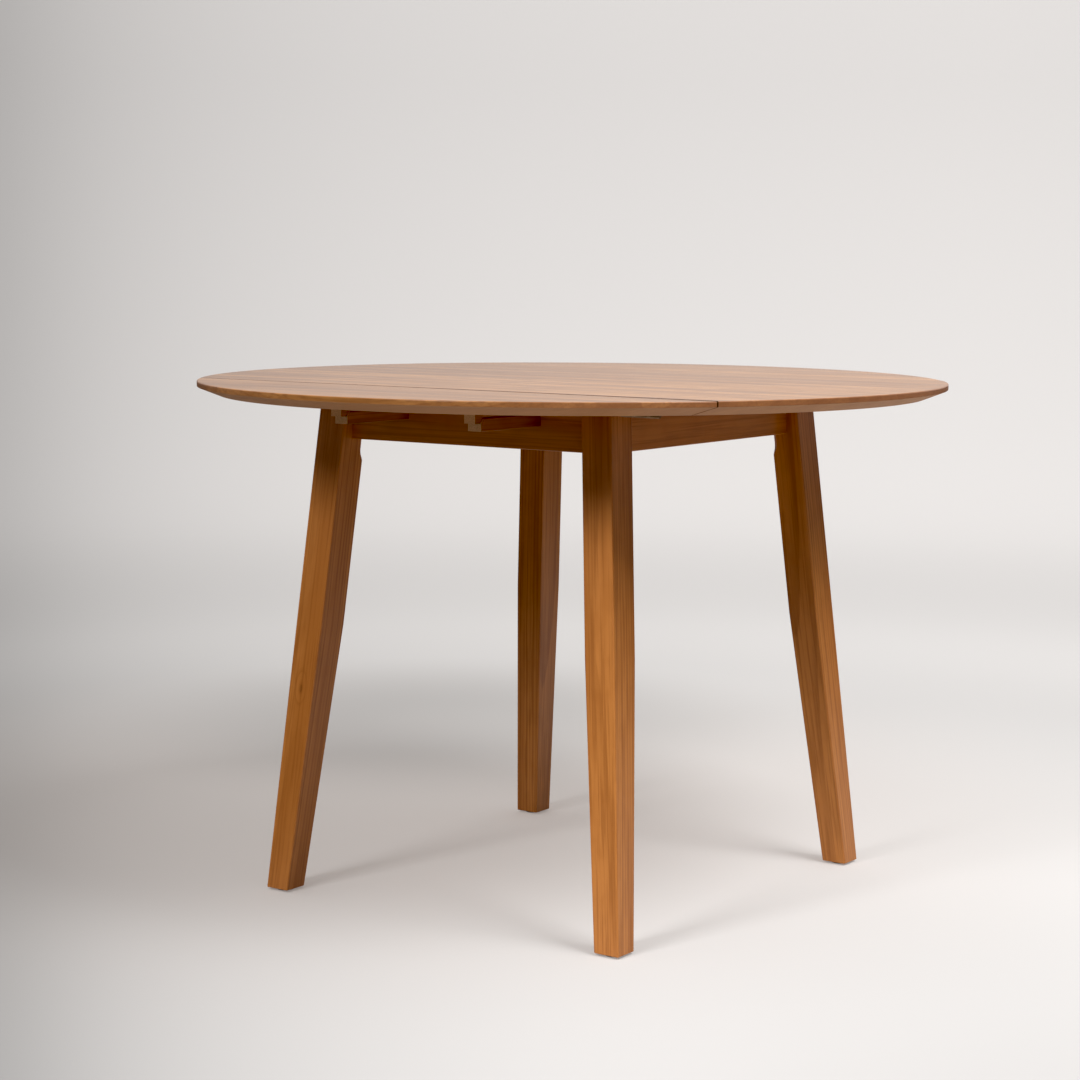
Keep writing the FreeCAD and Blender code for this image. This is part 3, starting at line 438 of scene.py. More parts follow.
NUT_CONE = 0.96
NUT_ROWS = np.array([0.0, 0.0003, 0.0006, 0.0010])
HEAD_RADIUS = 0.0038
HEAD_HEIGHT = 0.0022
HEAD_DOME = 0.0002
HEAD_FLAT = HEAD_RADIUS * 0.78
HEAD_RIM = ((1.0, 0.0009), (0.97, 0.0014), (0.9, 0.0018))
HEAD_COLUMNS = np.array([0.15, 0.21, 0.42, 0.66, 0.72, 0.86, 1.0])
CROSS_LENGTH = 0.7
CROSS_WIDTH = 0.2
CROSS_DEPTH = 0.0011
SCREW_RADIUS = 0.002
SCREW_TIP = 0.0003
SCREW_POINT = 0.004
SCREW_BITE = 0.012
DRIVEN_APART = 2.4


def axes_along(ways):
    """Three axes for each copy of a turned shape: its own Z along its way, and each copy turned further about
    that axis than the one before, as screws are left when they are driven home."""
    ways = np.array(ways, float)
    ways = ways / np.linalg.norm(ways, axis=-1, keepdims=True)
    aside = np.where(np.abs(ways[:, 2:]) > 0.5, (1.0, 0.0, 0.0), (0.0, 0.0, 1.0))
    first = np.cross(aside, ways)
    turn = np.arange(len(ways))[:, None] * DRIVEN_APART
    first = first * np.cos(turn) + np.cross(ways, first) * np.sin(turn)
    return np.stack([first, np.cross(ways, first), ways], 1)


def copies(node, shape, spots, axes, body, material):
    """One steel piece that stands for a node: copies of a shape, each set on its spot along its own axes."""
    points, faces = shape
    placed = np.array(spots, float)[:, None] + points.reshape(1, -1, 3) @ axes
    count = placed.shape[1]
    all_faces = [[corner + count * copy for corner in face] for copy in range(len(placed)) for face in faces]
    piece = new_piece(f"{node}_steel", placed.reshape(-1, 3), all_faces, body)
    merge_points(piece.data)
    piece.data.materials.append(material)
    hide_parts(node)


def merge_points(mesh):
    """Merge the points of a mesh that lie on each other, so that its parts are joined."""
    shell = bmesh.new()
    shell.from_mesh(mesh)
    bmesh.ops.remove_doubles(shell, verts=shell.verts, dist=1e-7)
    shell.to_mesh(mesh)
    shell.free()


def screw_shape(grip):
    """A pan-head wood screw along Z, its head on the plane of 0. The head's face is a square grid of a and b
    drawn out to a disc, x = a sqrt(1 - b b / 2) and y = b sqrt(1 - a a / 2), a little domed, and sunk where
    it lies in the cross. Its rim, the shank and the point are a profile carried round the disc's outline."""
    steps = np.concatenate([-HEAD_COLUMNS[::-1], [0.0], HEAD_COLUMNS])
    count = len(steps)
    a, b = np.meshgrid(steps, steps)
    disc = np.stack([a * np.sqrt(1 - b * b / 2), b * np.sqrt(1 - a * a / 2)], -1)
    longer = np.maximum(np.abs(a), np.abs(b))
    shorter = np.minimum(np.abs(a), np.abs(b))
    in_cross = (longer < CROSS_LENGTH) & (shorter < CROSS_WIDTH)
    fall = HEAD_DOME * (disc ** 2).sum(-1) + np.where(in_cross, CROSS_DEPTH * (1 - longer / 2), 0)
    face = np.concatenate([disc * HEAD_FLAT, (HEAD_HEIGHT - fall)[..., None]], -1)
    edge = np.arange(count - 1)
    outline = np.concatenate([edge, (edge + 1) * count - 1, count * count - 1 - edge,
                              count * (count - 1 - edge)])
    length = grip + SCREW_BITE
    radius, height = np.array([(SCREW_TIP, -length), (SCREW_RADIUS, SCREW_POINT - length),
                               (SCREW_RADIUS, 0.0), (HEAD_RADIUS, 0.0),
                               *[(HEAD_RADIUS * share, level) for share, level in HEAD_RIM],
                               (HEAD_FLAT, HEAD_HEIGHT - HEAD_DOME)]).T
    ring = radius[:, None, None] * disc.reshape(-1, 2)[outline]
    rows, columns = ring.shape[:2]
    side = np.concatenate([ring, np.broadcast_to(height[:, None, None], (rows, columns, 1))], -1)
    row, column = np.meshgrid(np.arange(count - 1), np.arange(count - 1), indexing="ij")
    start = (row * count + column).reshape(-1, 1)
    squares = start + np.array([0, 1, count + 1, count])
    tube = tube_faces(rows, columns) + count * count
    tip = count * count + np.arange(columns)[::-1]
    points = np.concatenate([face.reshape(-1, 3), side.reshape(-1, 3)])
    return points, [*squares.tolist(), *tube.tolist(), tip.tolist()]


def bolt_shape(length):
    """A hanger bolt along Z from the end of its tail. Along the tail the radius falls by the thread's depth
    and rises again once a pitch, one turn a pitch: depth |2 frac(z / pitch - turn) - 1|."""
    step = THREAD_PITCH / THREAD_STEPS
    along = np.concatenate([[0.0], np.arange(step, BOLT_TAIL, step), [length]])
    points = turned(np.stack([np.ones_like(along), along], -1), TURNED_STEPS)
    turn = np.arange(TURNED_STEPS) / TURNED_STEPS
    wave = np.abs(2 * np.mod(along[:, None] / THREAD_PITCH - turn, 1) - 1)
    radius = np.where(along[:, None] < BOLT_TAIL, BOLT_RADIUS - THREAD_DEPTH * wave, BOLT_RADIUS)
    radius = np.minimum(radius, BOLT_END + along[:, None])
    points[..., :2] *= radius[..., None]
    return points, capped_faces(len(along), TURNED_STEPS)


def nut_shape():
    """A nut along Z: a six-sided outline, apothem over the cosine of the angle from the nearest flat's
    middle, cut by a cone at both ends, round a plain bore."""
    apothem = NUT_CORNER * math.cos(math.pi / 6)
    along = np.concatenate([NUT_ROWS, NUT_HEIGHT - NUT_ROWS[::-1]])
    points = turned(np.stack([np.ones_like(along), along], -1), TURNED_STEPS)
    angle = np.arange(TURNED_STEPS) * 2 * np.pi / TURNED_STEPS
    hexagon = apothem / np.cos(np.mod(angle, math.pi / 3) - math.pi / 6)
    cone = apothem * NUT_CONE + np.minimum(along, NUT_HEIGHT - along) * math.sqrt(3)
    points[..., :2] *= np.minimum(hexagon, cone[:, None])[..., None]
    bore = turned([(BOLT_RADIUS, NUT_HEIGHT), (BOLT_RADIUS, 0.0)], TURNED_STEPS)
    return np.concatenate([points, bore]), tube_faces(len(along) + 2, TURNED_STEPS, ring=True).tolist()


zinc, tree, shader = new_material("zinc_plate")
seen = add(tree, "ShaderNodeTexCoord").outputs["Object"]
cloud = noise(tree, seen, (300.0, 300.0, 300.0), 3.0)
brush = noise(tree, seen, (80.0, 4000.0, 4000.0), 2.0)
tree.links.new(blend(tree, cloud, (0.56, 0.56, 0.55), (0.70, 0.69, 0.66)), shader.inputs["Base Color"])
tree.links.new(math_node(tree, "MULTIPLY_ADD", cloud, 0.25, 0.22), shader.inputs["Roughness"])
shader.inputs["Metallic"].default_value = 1.0
bump = add(tree, "ShaderNodeBump", {"Height": brush, "Strength": 0.08, "Distance": 0.0002})
tree.links.new(bump.outputs["Normal"], shader.inputs["Normal"])
half_washer = ((WASHER_RADIUS - WASHER_EASE, 0.0), (WASHER_RADIUS, WASHER_EASE))
half_bore = ((BOLT_RADIUS, WASHER_EASE), (WASHER_MOUTH, 0.0))
washer_profile = (*half_washer, *[(radius, WASHER_THICKNESS - level) for radius, level in half_washer[::-1]],
                  *[(radius, WASHER_THICKNESS - level) for radius, level in half_bore[::-1]], *half_bore)
washer_faces = tube_faces(len(washer_profile), TURNED_STEPS, ring=True)
washer_shape = (turned(washer_profile, TURNED_STEPS), washer_faces.tolist())
outward = np.array([(hand, side, 0.0) for _, side in SIDES for _, hand in HANDS]) / math.sqrt(2)
quadrant = outward[:, 0] * outward[:, 1] * 2
bolt_level = sum(BOLT_HEIGHTS) / 2
leg_inside = LEG_FOOT + (LEG_TOP - LEG_FOOT) * bolt_level / UNDER - LEG_WIDTH
leg_corner = (LEG_FOOT + (LEG_TOP - LEG_FOOT) * RAIL_BOTTOM / UNDER - LEG_WIDTH).sum() / math.sqrt(2)
bolt_length = BOLT_TAIL + leg_corner + CORNER_FLAT / math.sqrt(2) + BOLT_BITE - BLOCK_LINE
along_block = np.stack([-outward[:, 1], outward[:, 0], outward[:, 2]], -1) * quadrant[:, None]
on_face = outward * BLOCK_LINE + along_block * (leg_inside[1] - leg_inside[0]) / math.sqrt(2)
on_face = np.concatenate([on_face + (0.0, 0.0, height) for height in BOLT_HEIGHTS])
bolt_ways = np.tile(outward, (2, 1))
bolt_axes = axes_along(bolt_ways)
copies("hanger_bolts", bolt_shape(bolt_length), on_face - bolt_ways * BOLT_TAIL, bolt_axes, "frame", zinc)
copies("bolt_washers", washer_shape, on_face - bolt_ways * WASHER_THICKNESS, bolt_axes, "frame", zinc)
nut_spots = on_face - bolt_ways * (WASHER_THICKNESS + NUT_HEIGHT)
copies("bolt_nuts", nut_shape(), nut_spots, bolt_axes, "frame", zinc)
block_screw = BLOCK_LINE * math.sqrt(2) - RAIL_INSIDE[::-1] + BLOCK_SCREW_INSET
block_seat = RAIL_INSIDE - BLOCK_GRIP
block_level = RAIL_BOTTOM + BLOCK_MIDDLE
spots = []
ways = []
for _, side in SIDES:
    for _, hand in HANDS:
        spots.append((block_screw[0] * hand, block_seat[1] * side, block_level))
        ways.append((0, -side, 0))
        spots.append((block_seat[0] * hand, block_screw[1] * side, block_level))
        ways.append((-hand, 0, 0))
copies("block_screws", screw_shape(BLOCK_GRIP), spots, axes_along(ways), "frame", zinc)

# Bar guides: closed wooden channels under the panel from rail to rail, which carry the support bars.
# They are left unfinished, and four screws each, sunk in the side walls, hold them up against the panel.
guide_wood = wood("guide_wood", PALE, rough=0.6, pith=(0.0, 0.05, 0.62), ring_width=0.0045, wander=0.03,
                  ring_share=0.5, turn=along_y)
dress(guide_wood, "bar_guide_left", "bar_guide_right")
BAR_OFFSET = 0.115
GUIDE_WALL_OFFSET = 0.0163
GUIDE_SCREW_Y = 0.205
GUIDE_RECESS = 0.016
DOWN = (0, 0, -1)
guide_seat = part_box("bar_guide_left")[0].z + GUIDE_RECESS
spots = [(BAR_OFFSET * hand + GUIDE_WALL_OFFSET * wall, GUIDE_SCREW_Y * end, guide_seat)
         for hand in (-1, 1) for wall in (-1, 1) for end in (-1, 1)]
copies("guide_screws", screw_shape(UNDER - guide_seat), spots, axes_along([DOWN] * len(spots)), "frame", zinc)

# Support bars: planed wooden bars that slide out of the rails under the leaves, each stopped by a peg.
# They were stained in the length and cut afterwards, so their ends are pale.
# The bars' stain is the caramel darkened by about 0.6: painted shade for their sides, which lie in the shade
# under the leaves.
SHADED_CARAMEL = ((0.33, 0.125, 0.032), (0.13, 0.039, 0.008), (0.24, 0.084, 0.020))
CUT_END = ((0.76, 0.51, 0.30), (0.58, 0.37, 0.20))
bar_wood = wood("bar_wood", SHADED_CARAMEL, rough=0.55, pith=(0.0, 0.05, 0.62), ring_width=0.0045, wander=0.03,
                ring_share=0.5, turn=along_y)
tree = bar_wood.node_tree
shader = tree.nodes["Principled BSDF"]
stained = shader.inputs["Base Color"].links[0].from_socket
seen = add(tree, "ShaderNodeTexCoord").outputs
facing = add(tree, "ShaderNodeSeparateXYZ", {0: seen["Normal"]}).outputs["Y"]
cut_end = ramp(tree, math_node(tree, "ABSOLUTE", facing), 0.5, 0.75)
pores = noise(tree, seen["Object"], (1100.0, 60.0, 900.0), 2.0)
bare = blend(tree, ramp(tree, pores, 0.35, 0.7), *CUT_END)
tree.links.new(blend(tree, cut_end, stained, bare), shader.inputs["Base Color"])
shader.inputs["Specular IOR Level"].default_value = 0.15
dress(bar_wood, *[f"support_bar_{side}_{hand}" for side, _ in SIDES for hand, _ in HANDS])
PEG_RADIUS = 0.003
PEG_LENGTH = 0.015
PEG_PROFILE = ((PEG_RADIUS - 0.0012, 0.0), (PEG_RADIUS - 0.0004, 0.0003), (PEG_RADIUS, 0.0010),
               (PEG_RADIUS, PEG_LENGTH))
for place in [f"{side}_{hand}" for side, _ in SIDES for hand, _ in HANDS]:
    low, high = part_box(f"stop_peg_{place}")
    points = turned(PEG_PROFILE, TURNED_STEPS) + ((low.x + high.x) / 2, (low.y + high.y) / 2, low.z)
    faces = capped_faces(len(PEG_PROFILE), TURNED_STEPS)
    piece = new_piece(f"stop_peg_{place}_dowel", points.reshape(-1, 3), faces, f"bar_{place}")
    piece.data.materials.append(block_wood)
    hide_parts(f"stop_peg_{place}")

# Centre panel: a board glued from staves, stained tawny, lacquered satin and held on the rails by brackets.
# Its two ends are round, with a thin rim over a wide bevel, and its long edges are broken.
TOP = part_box("centre_panel")[1].z
RADIUS = -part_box("centre_panel")[0].x
SEAM = 0.320
SEAM_GAP = 0.0015
SEAM_CHAMFER = 0.0008
RIM_BAND = 0.008
RIM_ROUND = 0.0016
BEVEL_INSET = 0.031
ARRIS = 0.0008
ARC_POINTS = 181
SEAM_LIP = 0.0004


def rim_rows():
    """Rows of the boards' edge from the underside round to the upper face: how far each lies inside the
    widest line, its height, and how far a seam's broken edge has gone back there. The bevel is straight,
    its two corners are eased by an arris, and the upper edge is a quarter circle."""
    slope = np.array([-BEVEL_INSET, TOP - RIM_BAND - UNDER])
    slope = slope / np.hypot(*slope)
    turn = np.radians(np.arange(0, 91, 10))
    low = np.array([BEVEL_INSET, UNDER])
    high = np.array([0.0, TOP - RIM_BAND])
    close = EDGE_SUPPORT
    wide = EDGE_SUPPORT * 4
    bevel = [low + (wide, 0), low + (close, 0), low + slope * close, low + slope * wide,
             high - slope * ARRIS * 1.5, high - slope * ARRIS * 0.5,
             high + (0, ARRIS * 0.5), high + (0, ARRIS * 1.5), (0, TOP - RIM_ROUND * 1.5)]
    edge = np.stack([RIM_ROUND * (1 - np.cos(turn)), TOP - RIM_ROUND * (1 - np.sin(turn))], -1)
    rows = np.concatenate([bevel, edge, [(RIM_ROUND + close, TOP), (RIM_ROUND + wide, TOP)]])
    broken = np.maximum(rows[:, 1] - (TOP - SEAM_CHAMFER), 0)
    broken[-2:] += (close, wide)
    return rows[:, 0], rows[:, 1], broken


def board(name, low, high, sink, body, material):
    """A board of the round top, between two lines across Y: each row is a disc of its own radius cut by the
    seams, its right arc mirrored to the left, and both faces are closed by strips from arc to arc. The upper
    face falls evenly along X, by the sink in all."""
    inset, height, broken = rim_rows()
    radius = RADIUS - inset
    ends = []
    for line, inward in ((low, 1), (high, -1)):
        ends.append(np.full_like(radius, -inward) if line is None else (line + inward * broken) / radius)
    share = np.sort(np.append(np.linspace(0, 1, ARC_POINTS - 2), [SEAM_LIP, 1 - SEAM_LIP]))
    first, last = np.arcsin(ends[0]), np.arcsin(ends[1])
    angle = first[:, None] + (last - first)[:, None] * share
    right = np.stack([radius[:, None] * np.cos(angle), radius[:, None] * np.sin(angle),
                      np.broadcast_to(height[:, None], angle.shape)], -1)
    left = right[:, ::-1] * (-1, 1, 1)
    points = np.concatenate([right, left], 1)
    rows, columns = points.shape[:2]
    raised = np.clip(1 - (TOP - height) / RIM_BAND, 0, 1)
    points[..., 2] -= sink * raised[:, None] * (1 + points[..., 0] / RADIUS) / 2
    step = np.arange(ARC_POINTS - 1)
    strip = np.stack([step, step + 1, columns - 2 - step, columns - 1 - step], -1)
    faces = np.concatenate([tube_faces(rows, columns), strip[:, ::-1], strip + (rows - 1) * columns])
    piece = new_piece(f"{name}_board", points.reshape(-1, 3), faces.tolist(), body)
    # Points on the seam's walls in the rim band are marked for painted shade, standing for the dark of the
    # narrow gap.
    seam = np.zeros((rows, columns), np.float32)
    seam_columns = [0, -1] * (low is not None) + [ARC_POINTS - 1, ARC_POINTS] * (high is not None)
    dark_rows = np.flatnonzero(height > TOP - RIM_BAND)[:-2]
    seam[np.ix_(dark_rows, seam_columns)] = 1
    layer = piece.data.attributes.new("seam", "FLOAT", "POINT")
    layer.data.foreach_set("value", seam.ravel())
    merge_points(piece.data)
    piece.data.materials.append(material)
    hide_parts(name)


STAVE = 0.088
TAWNY = ((0.437, 0.200, 0.064), (0.13, 0.047, 0.013), (0.215, 0.087, 0.025))
END_GRAIN = (0.24, 0.098, 0.048)
PAINTED_FLOOR_BOUNCE = (0.52, 0.26, 0.125)
SEAM_PAINTED_SHADE = (0.040, 0.019, 0.009)
SHADE_FROM_RIM = (0.006, 0.002)
SHADE_UNDER_TOP = (0.0022, 0.0014)
COAT = 0.31
top_wood = wood("top_wood", TAWNY, rough=0.30, pith=(0.0, 0.0, 0.20), ring_width=0.0075, wander=0.06,
                ring_share=0.45, strip_width=STAVE, turn=along_x)
tree = top_wood.node_tree
shader = tree.nodes["Principled BSDF"]
colour = shader.inputs["Base Color"].links[0].from_socket
seen = add(tree, "ShaderNodeTexCoord").outputs
facing = add(tree, "ShaderNodeSeparateXYZ", {0: seen["Normal"]}).outputs
end_grain = math_node(tree, "ABSOLUTE", facing["X"])
colour = blend(tree, math_node(tree, "MULTIPLY", end_grain, 0.8), colour, END_GRAIN)
# Painted light: faces that look down are painted paler for the light they get back from the floor. The same
# mask also makes them rougher.
below = ramp(tree, facing["Z"], -0.2, -0.6)
colour = blend(tree, math_node(tree, "MULTIPLY", below, 0.7), colour, PAINTED_FLOOR_BOUNCE)
# Painted shade in the seams: their walls near the rim and their broken edges under the upper face are painted
# nearly black, for the dark of the narrow gap.
place = add(tree, "ShaderNodeSeparateXYZ", {0: seen["Object"]}).outputs
seam_end = math.sqrt(RADIUS ** 2 - SEAM ** 2)
at_rim = ramp(tree, math_node(tree, "ABSOLUTE", place["X"]), *[seam_end - inset for inset in SHADE_FROM_RIM])
at_edge = ramp(tree, place["Z"], *[TOP - depth for depth in SHADE_UNDER_TOP])
seam_shade = add(tree, "ShaderNodeAttribute", attribute_name="seam").outputs["Fac"]
seam_shade = math_node(tree, "MULTIPLY", seam_shade, math_node(tree, "MAXIMUM", at_rim, at_edge))
colour = blend(tree, math_node(tree, "MULTIPLY", seam_shade, 0.92), colour, SEAM_PAINTED_SHADE)
tree.links.new(colour, shader.inputs["Base Color"])
gloss = shader.inputs["Roughness"].links[0].from_socket
tree.links.new(math_node(tree, "MULTIPLY_ADD", below, 0.3, gloss), shader.inputs["Roughness"])
upper_face = ramp(tree, facing["Z"], 0.8, 0.97)
tree.links.new(math_node(tree, "MULTIPLY", upper_face, COAT), shader.inputs["Coat Weight"])
shader.inputs["Specular IOR Level"].default_value = 0.25
shader.inputs["Coat Roughness"].default_value = 0.26
board("centre_panel", -SEAM + SEAM_GAP / 2, SEAM - SEAM_GAP / 2, 0.0, "frame", top_wood)

# Brackets: six zinc-plated steel strips bent to an angle, which hold the panel on the rails.
# Each has one screw into its rail and one up into the panel.
BRACKET_ASIDE = 0.09
BRACKET_WIDTH = 0.018
BRACKET_LEG = 0.025
BRACKET_PLATE = 0.002
BRACKET_HOLE = 0.015
BRACKET_BEND = 0.0028


def bracket_shape():
    """The strip's outline in Y and Z, two straight legs and the two arcs of the bend, carried across X."""
    turn = np.radians(np.linspace(90, 180, 7))
    arc = np.stack([np.cos(turn), np.sin(turn)], -1)
    middle = (BRACKET_BEND, -BRACKET_BEND)
    outside = middle + arc * BRACKET_BEND
    inside = middle + arc[::-1] * (BRACKET_BEND - BRACKET_PLATE)
    outline = np.concatenate([[(BRACKET_LEG, -BRACKET_PLATE), (BRACKET_LEG, 0.0)], outside,
                              [(0.0, -BRACKET_LEG), (BRACKET_PLATE, -BRACKET_LEG)], inside])
    across = np.array([-0.5, 0.5]) * BRACKET_WIDTH
    points = np.concatenate([np.broadcast_to(across[:, None, None], (2, len(outline), 1)),
                             np.broadcast_to(outline, (2, *outline.shape))], -1)
    return points, capped_faces(2, len(outline))


bend_spots = np.array([(0.0, -RAIL_INSIDE[1], UNDER), (0.0, RAIL_INSIDE[1], UNDER)]
                      + [(RAIL_INSIDE[0] * hand, BRACKET_ASIDE * end, UNDER)
                         for hand in (-1, 1) for end in (-1, 1)])
inward = np.array([(0, 1, 0), (0, -1, 0), (1, 0, 0), (1, 0, 0), (-1, 0, 0), (-1, 0, 0)], float)
upward = np.broadcast_to((0.0, 0.0, 1.0), inward.shape)
bend_axes = np.stack([np.cross(inward, upward), inward, upward], 1)
copies("top_brackets", bracket_shape(), bend_spots, bend_axes, "frame", zinc)
in_rail = bend_spots + inward * BRACKET_PLATE - upward * BRACKET_HOLE
in_panel = bend_spots + inward * BRACKET_HOLE - upward * BRACKET_PLATE
copies("bracket_screws", screw_shape(BRACKET_PLATE), np.concatenate([in_rail, in_panel]),
       axes_along(np.concatenate([inward, -upward])), "frame", zinc)

# Hinges: three butt hinges of bronzed steel along each seam, a fixed plate screwed under the panel and
# a turning one under the leaf, on a pin.
hinge_names = ("left", "middle", "right")
bronzed, tree, shader = new_material("bronzed_steel")
seen = add(tree, "ShaderNodeTexCoord").outputs["Object"]
cloud = noise(tree, seen, (240.0, 240.0, 240.0), 3.0)
tree.links.new(blend(tree, cloud, (0.20, 0.125, 0.065), (0.29, 0.185, 0.10)), shader.inputs["Base Color"])
tree.links.new(math_node(tree, "MULTIPLY_ADD", cloud, 0.3, 0.3), shader.inputs["Roughness"])
shader.inputs["Metallic"].default_value = 0.85
PIN_RADIUS = 0.0016
PIN_ROUND = ((0.0007, 0.0), (0.0013, 0.0002), (PIN_RADIUS, 0.0006))
HINGE_PLATE = 0.002
HINGE_SCREWS = ((-0.020, 0.015), (0.0, 0.019), (0.020, 0.015))
hinge_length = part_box("front_hinge_fixed_middle")[1].x * 2
pin_profile = (*PIN_ROUND, *[(radius, hinge_length - along) for radius, along in PIN_ROUND[::-1]])
pin_shape = (turned(pin_profile, TURNED_STEPS), capped_faces(len(pin_profile), TURNED_STEPS))
pin_height = (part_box("hinge_pins")[0].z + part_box("hinge_pins")[1].z) / 2
hinge_middles = [(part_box(f"front_hinge_fixed_{name}")[0].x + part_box(f"front_hinge_fixed_{name}")[1].x) / 2
                 for name in hinge_names]
spots = [(x - hinge_length / 2, SEAM * side, pin_height) for _, side in SIDES for x in hinge_middles]
copies("hinge_pins", pin_shape, spots, axes_along([(1, 0, 0)] * len(spots)), "frame", bronzed)


def hinge_screw_spots(side, way):
    """Screw seats of one seam's plates: three to a plate, two near the line and one further from it."""
    return [(x + aside, SEAM * side + off * way, UNDER - HINGE_PLATE)
            for x in hinge_middles for aside, off in HINGE_SCREWS]


spots = hinge_screw_spots(-1, 1) + hinge_screw_spots(1, -1)
copies("panel_hinge_screws", screw_shape(HINGE_PLATE), spots, axes_along([DOWN] * len(spots)), "frame",
       bronzed)
for side_name, side in SIDES:
    spots = hinge_screw_spots(side, side)
    copies(f"{side_name}_leaf_hinge_screws", screw_shape(HINGE_PLATE), spots, axes_along([DOWN] * len(spots)),
           f"{side_name}_wing", bronzed)
    for name in hinge_names:
        dress(bronzed, f"{side_name}_hinge_fixed_{name}", f"{side_name}_hinge_leaf_{name}")

# Leaves: two half-moon boards of the same staves, hung on the hinges. Their upper faces lie a hair lower than
# the panel's towards the right, where the panel's edge shows as a dark line along the seam; that edge is
# painted dark, as painted shade for the gap.
LEAF_SINK = 0.0006
board("front_leaf", None, -SEAM - SEAM_GAP / 2, LEAF_SINK, "front_wing", top_wood)
board("rear_leaf", SEAM + SEAM_GAP / 2, None, LEAF_SINK, "rear_wing", top_wood)

# Catch blocks: small blocks screwed under the leaves, of the same stained wood as the bars. The bevel on a
# bar's nose comes to rest under the bevel of its block, so that the bar holds the leaf up and level.
CATCH_SCREW_Y = 0.3975
CATCH_RECESS = 0.004
dress(bar_wood, *[f"catch_block_{side}_{hand}" for side, _ in SIDES for hand, _ in HANDS])
catch_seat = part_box("catch_block_front_left")[0].z + CATCH_RECESS
for side_name, side in SIDES:
    spots = [(BAR_OFFSET * hand, CATCH_SCREW_Y * side, catch_seat) for hand in (-1, 1)]
    copies(f"{side_name}_catch_screws", screw_shape(UNDER - catch_seat), spots, axes_along([DOWN] * 2),
           f"{side_name}_wing", zinc)

# Studio: a pale seamless backdrop that turns up all round, two soft lights and a faint light from all sides.
# Its light is partly painted: the paper glows by itself, painted light for the light falling on it, and its
# colour is painted darker towards the left of the picture as painted shade.
CAMERA_PLACE = (2.0767, -2.9981, 0.9389)
CAMERA_TURN = math.radians(125.435)
CAMERA_AHEAD = (math.cos(CAMERA_TURN), math.sin(CAMERA_TURN), 0.0)
CAMERA_ASIDE = (math.sin(CAMERA_TURN), -math.cos(CAMERA_TURN), 0.0)
PAPER = (0.40, 0.392, 0.386)
BOUNCE_FAR = (0.13, 0.127, 0.123)
BOUNCE_NEAR = (0.62, 0.60, 0.58)
BOUNCE_SPOT = (0.45, 0.15, 0.0)
GLOW_TINT = (1.0, 0.965, 0.945)
WARM_GLOW_TINT = (1.0, 0.89, 0.83)
WARM_SPOT = (-0.55, 0.25, 0.0)
SHADE_SPOT = (-0.90, 0.875, 0.0)
SHADE_DEPTH = 0.6
LEFT_EDGE = -0.235
RIGHT_EDGE = 0.17
LEFT_SHARE = 0.42
FRONT_RIGHT_DIP = 0.16
GLOW_NEAR = 0.30
GLOW_FAR = 0.62
GLOW_DIP = 0.19
BACKDROP_FLAT = 4.6
BACKDROP_BEND = 1.6
BACKDROP_WALL = 3.2
BLACK_LEVEL = 0.0125


def backdrop_rows():
    """Radius and height of the backdrop from its middle out: flat floor, quarter circle, upright wall."""
    turn = np.linspace(0, np.pi / 2, 24)
    bend = np.stack([BACKDROP_FLAT + BACKDROP_BEND * np.sin(turn), BACKDROP_BEND * (1 - np.cos(turn))], -1)
    wall = [[BACKDROP_FLAT + BACKDROP_BEND, BACKDROP_BEND + BACKDROP_WALL]]
    return np.concatenate([[[0.02, 0.0], [1.0, 0.0], [2.5, 0.0]], bend, wall])


def length_node(tree, way):
    """Length of a vector."""
    return add(tree, "ShaderNodeVectorMath", {0: way}, operation="LENGTH").outputs["Value"]


def dot_node(tree, first, second):
    """How far one vector reaches along another."""
    return add(tree, "ShaderNodeVectorMath", {0: first, 1: second}, operation="DOT_PRODUCT").outputs["Value"]


sweep = backdrop_rows()
angle = np.linspace(0, 2 * np.pi, 96, endpoint=False)
surface = np.stack([sweep[:, :1] * np.cos(angle), sweep[:, :1] * np.sin(angle),
                  np.broadcast_to(sweep[:, 1:], (len(sweep), len(angle)))], -1)
mesh = bpy.data.meshes.new("backdrop")
faces = tube_faces(len(sweep), len(angle))[:, ::-1]
mesh.from_pydata(surface.reshape(-1, 3), [], [*faces.tolist(), list(range(len(angle)))])
mesh.shade_smooth()
backdrop = bpy.data.objects.new("backdrop", mesh)
bpy.context.scene.collection.objects.link(backdrop)
paper, tree, shader = new_material("backdrop_paper")
place = add(tree, "ShaderNodeTexCoord").outputs["Object"]
from_stand = vector_node(tree, "SUBTRACT", place, (*CAMERA_PLACE[:2], 0.0))
ahead = dot_node(tree, from_stand, CAMERA_AHEAD)
aside = dot_node(tree, from_stand, CAMERA_ASIDE)
bearing = math_node(tree, "ARCTAN2", aside, ahead)

# Painted light and shade in the paper's colour: how well each place is lit, a curve that rises from the left
# edge of the picture to the right one, lower in front on the right, and full again out of the picture on the
# left and near the camera.
share = add(tree, "ShaderNodeMapRange", {"Value": bearing, "From Min": LEFT_EDGE, "From Max": RIGHT_EDGE},
            clamp=False)
share = math_node(tree, "SMOOTH_MAX", share.outputs["Result"], 0.03, 0.12)
lit = math_node(tree, "DIVIDE", math_node(tree, "MULTIPLY", share, 1.2), math_node(tree, "ADD", share, 0.2))
lit = math_node(tree, "MINIMUM", lit, 1.0)
front_right = math_node(tree, "MULTIPLY", ramp(tree, bearing, 0.0, 0.2), ramp(tree, ahead, 4.0, 3.1))
lit = math_node(tree, "MULTIPLY_ADD", front_right, -FRONT_RIGHT_DIP, lit)
lit = math_node(tree, "MAXIMUM", lit, ramp(tree, bearing, -0.3, -1.3))
lit = math_node(tree, "MAXIMUM", lit, ramp(tree, ahead, 2.6, 0.6))
paper_painted_shade = [part * LEFT_SHARE for part in PAPER]
tree.links.new(blend(tree, lit, paper_painted_shade, PAPER), shader.inputs["Base Color"])
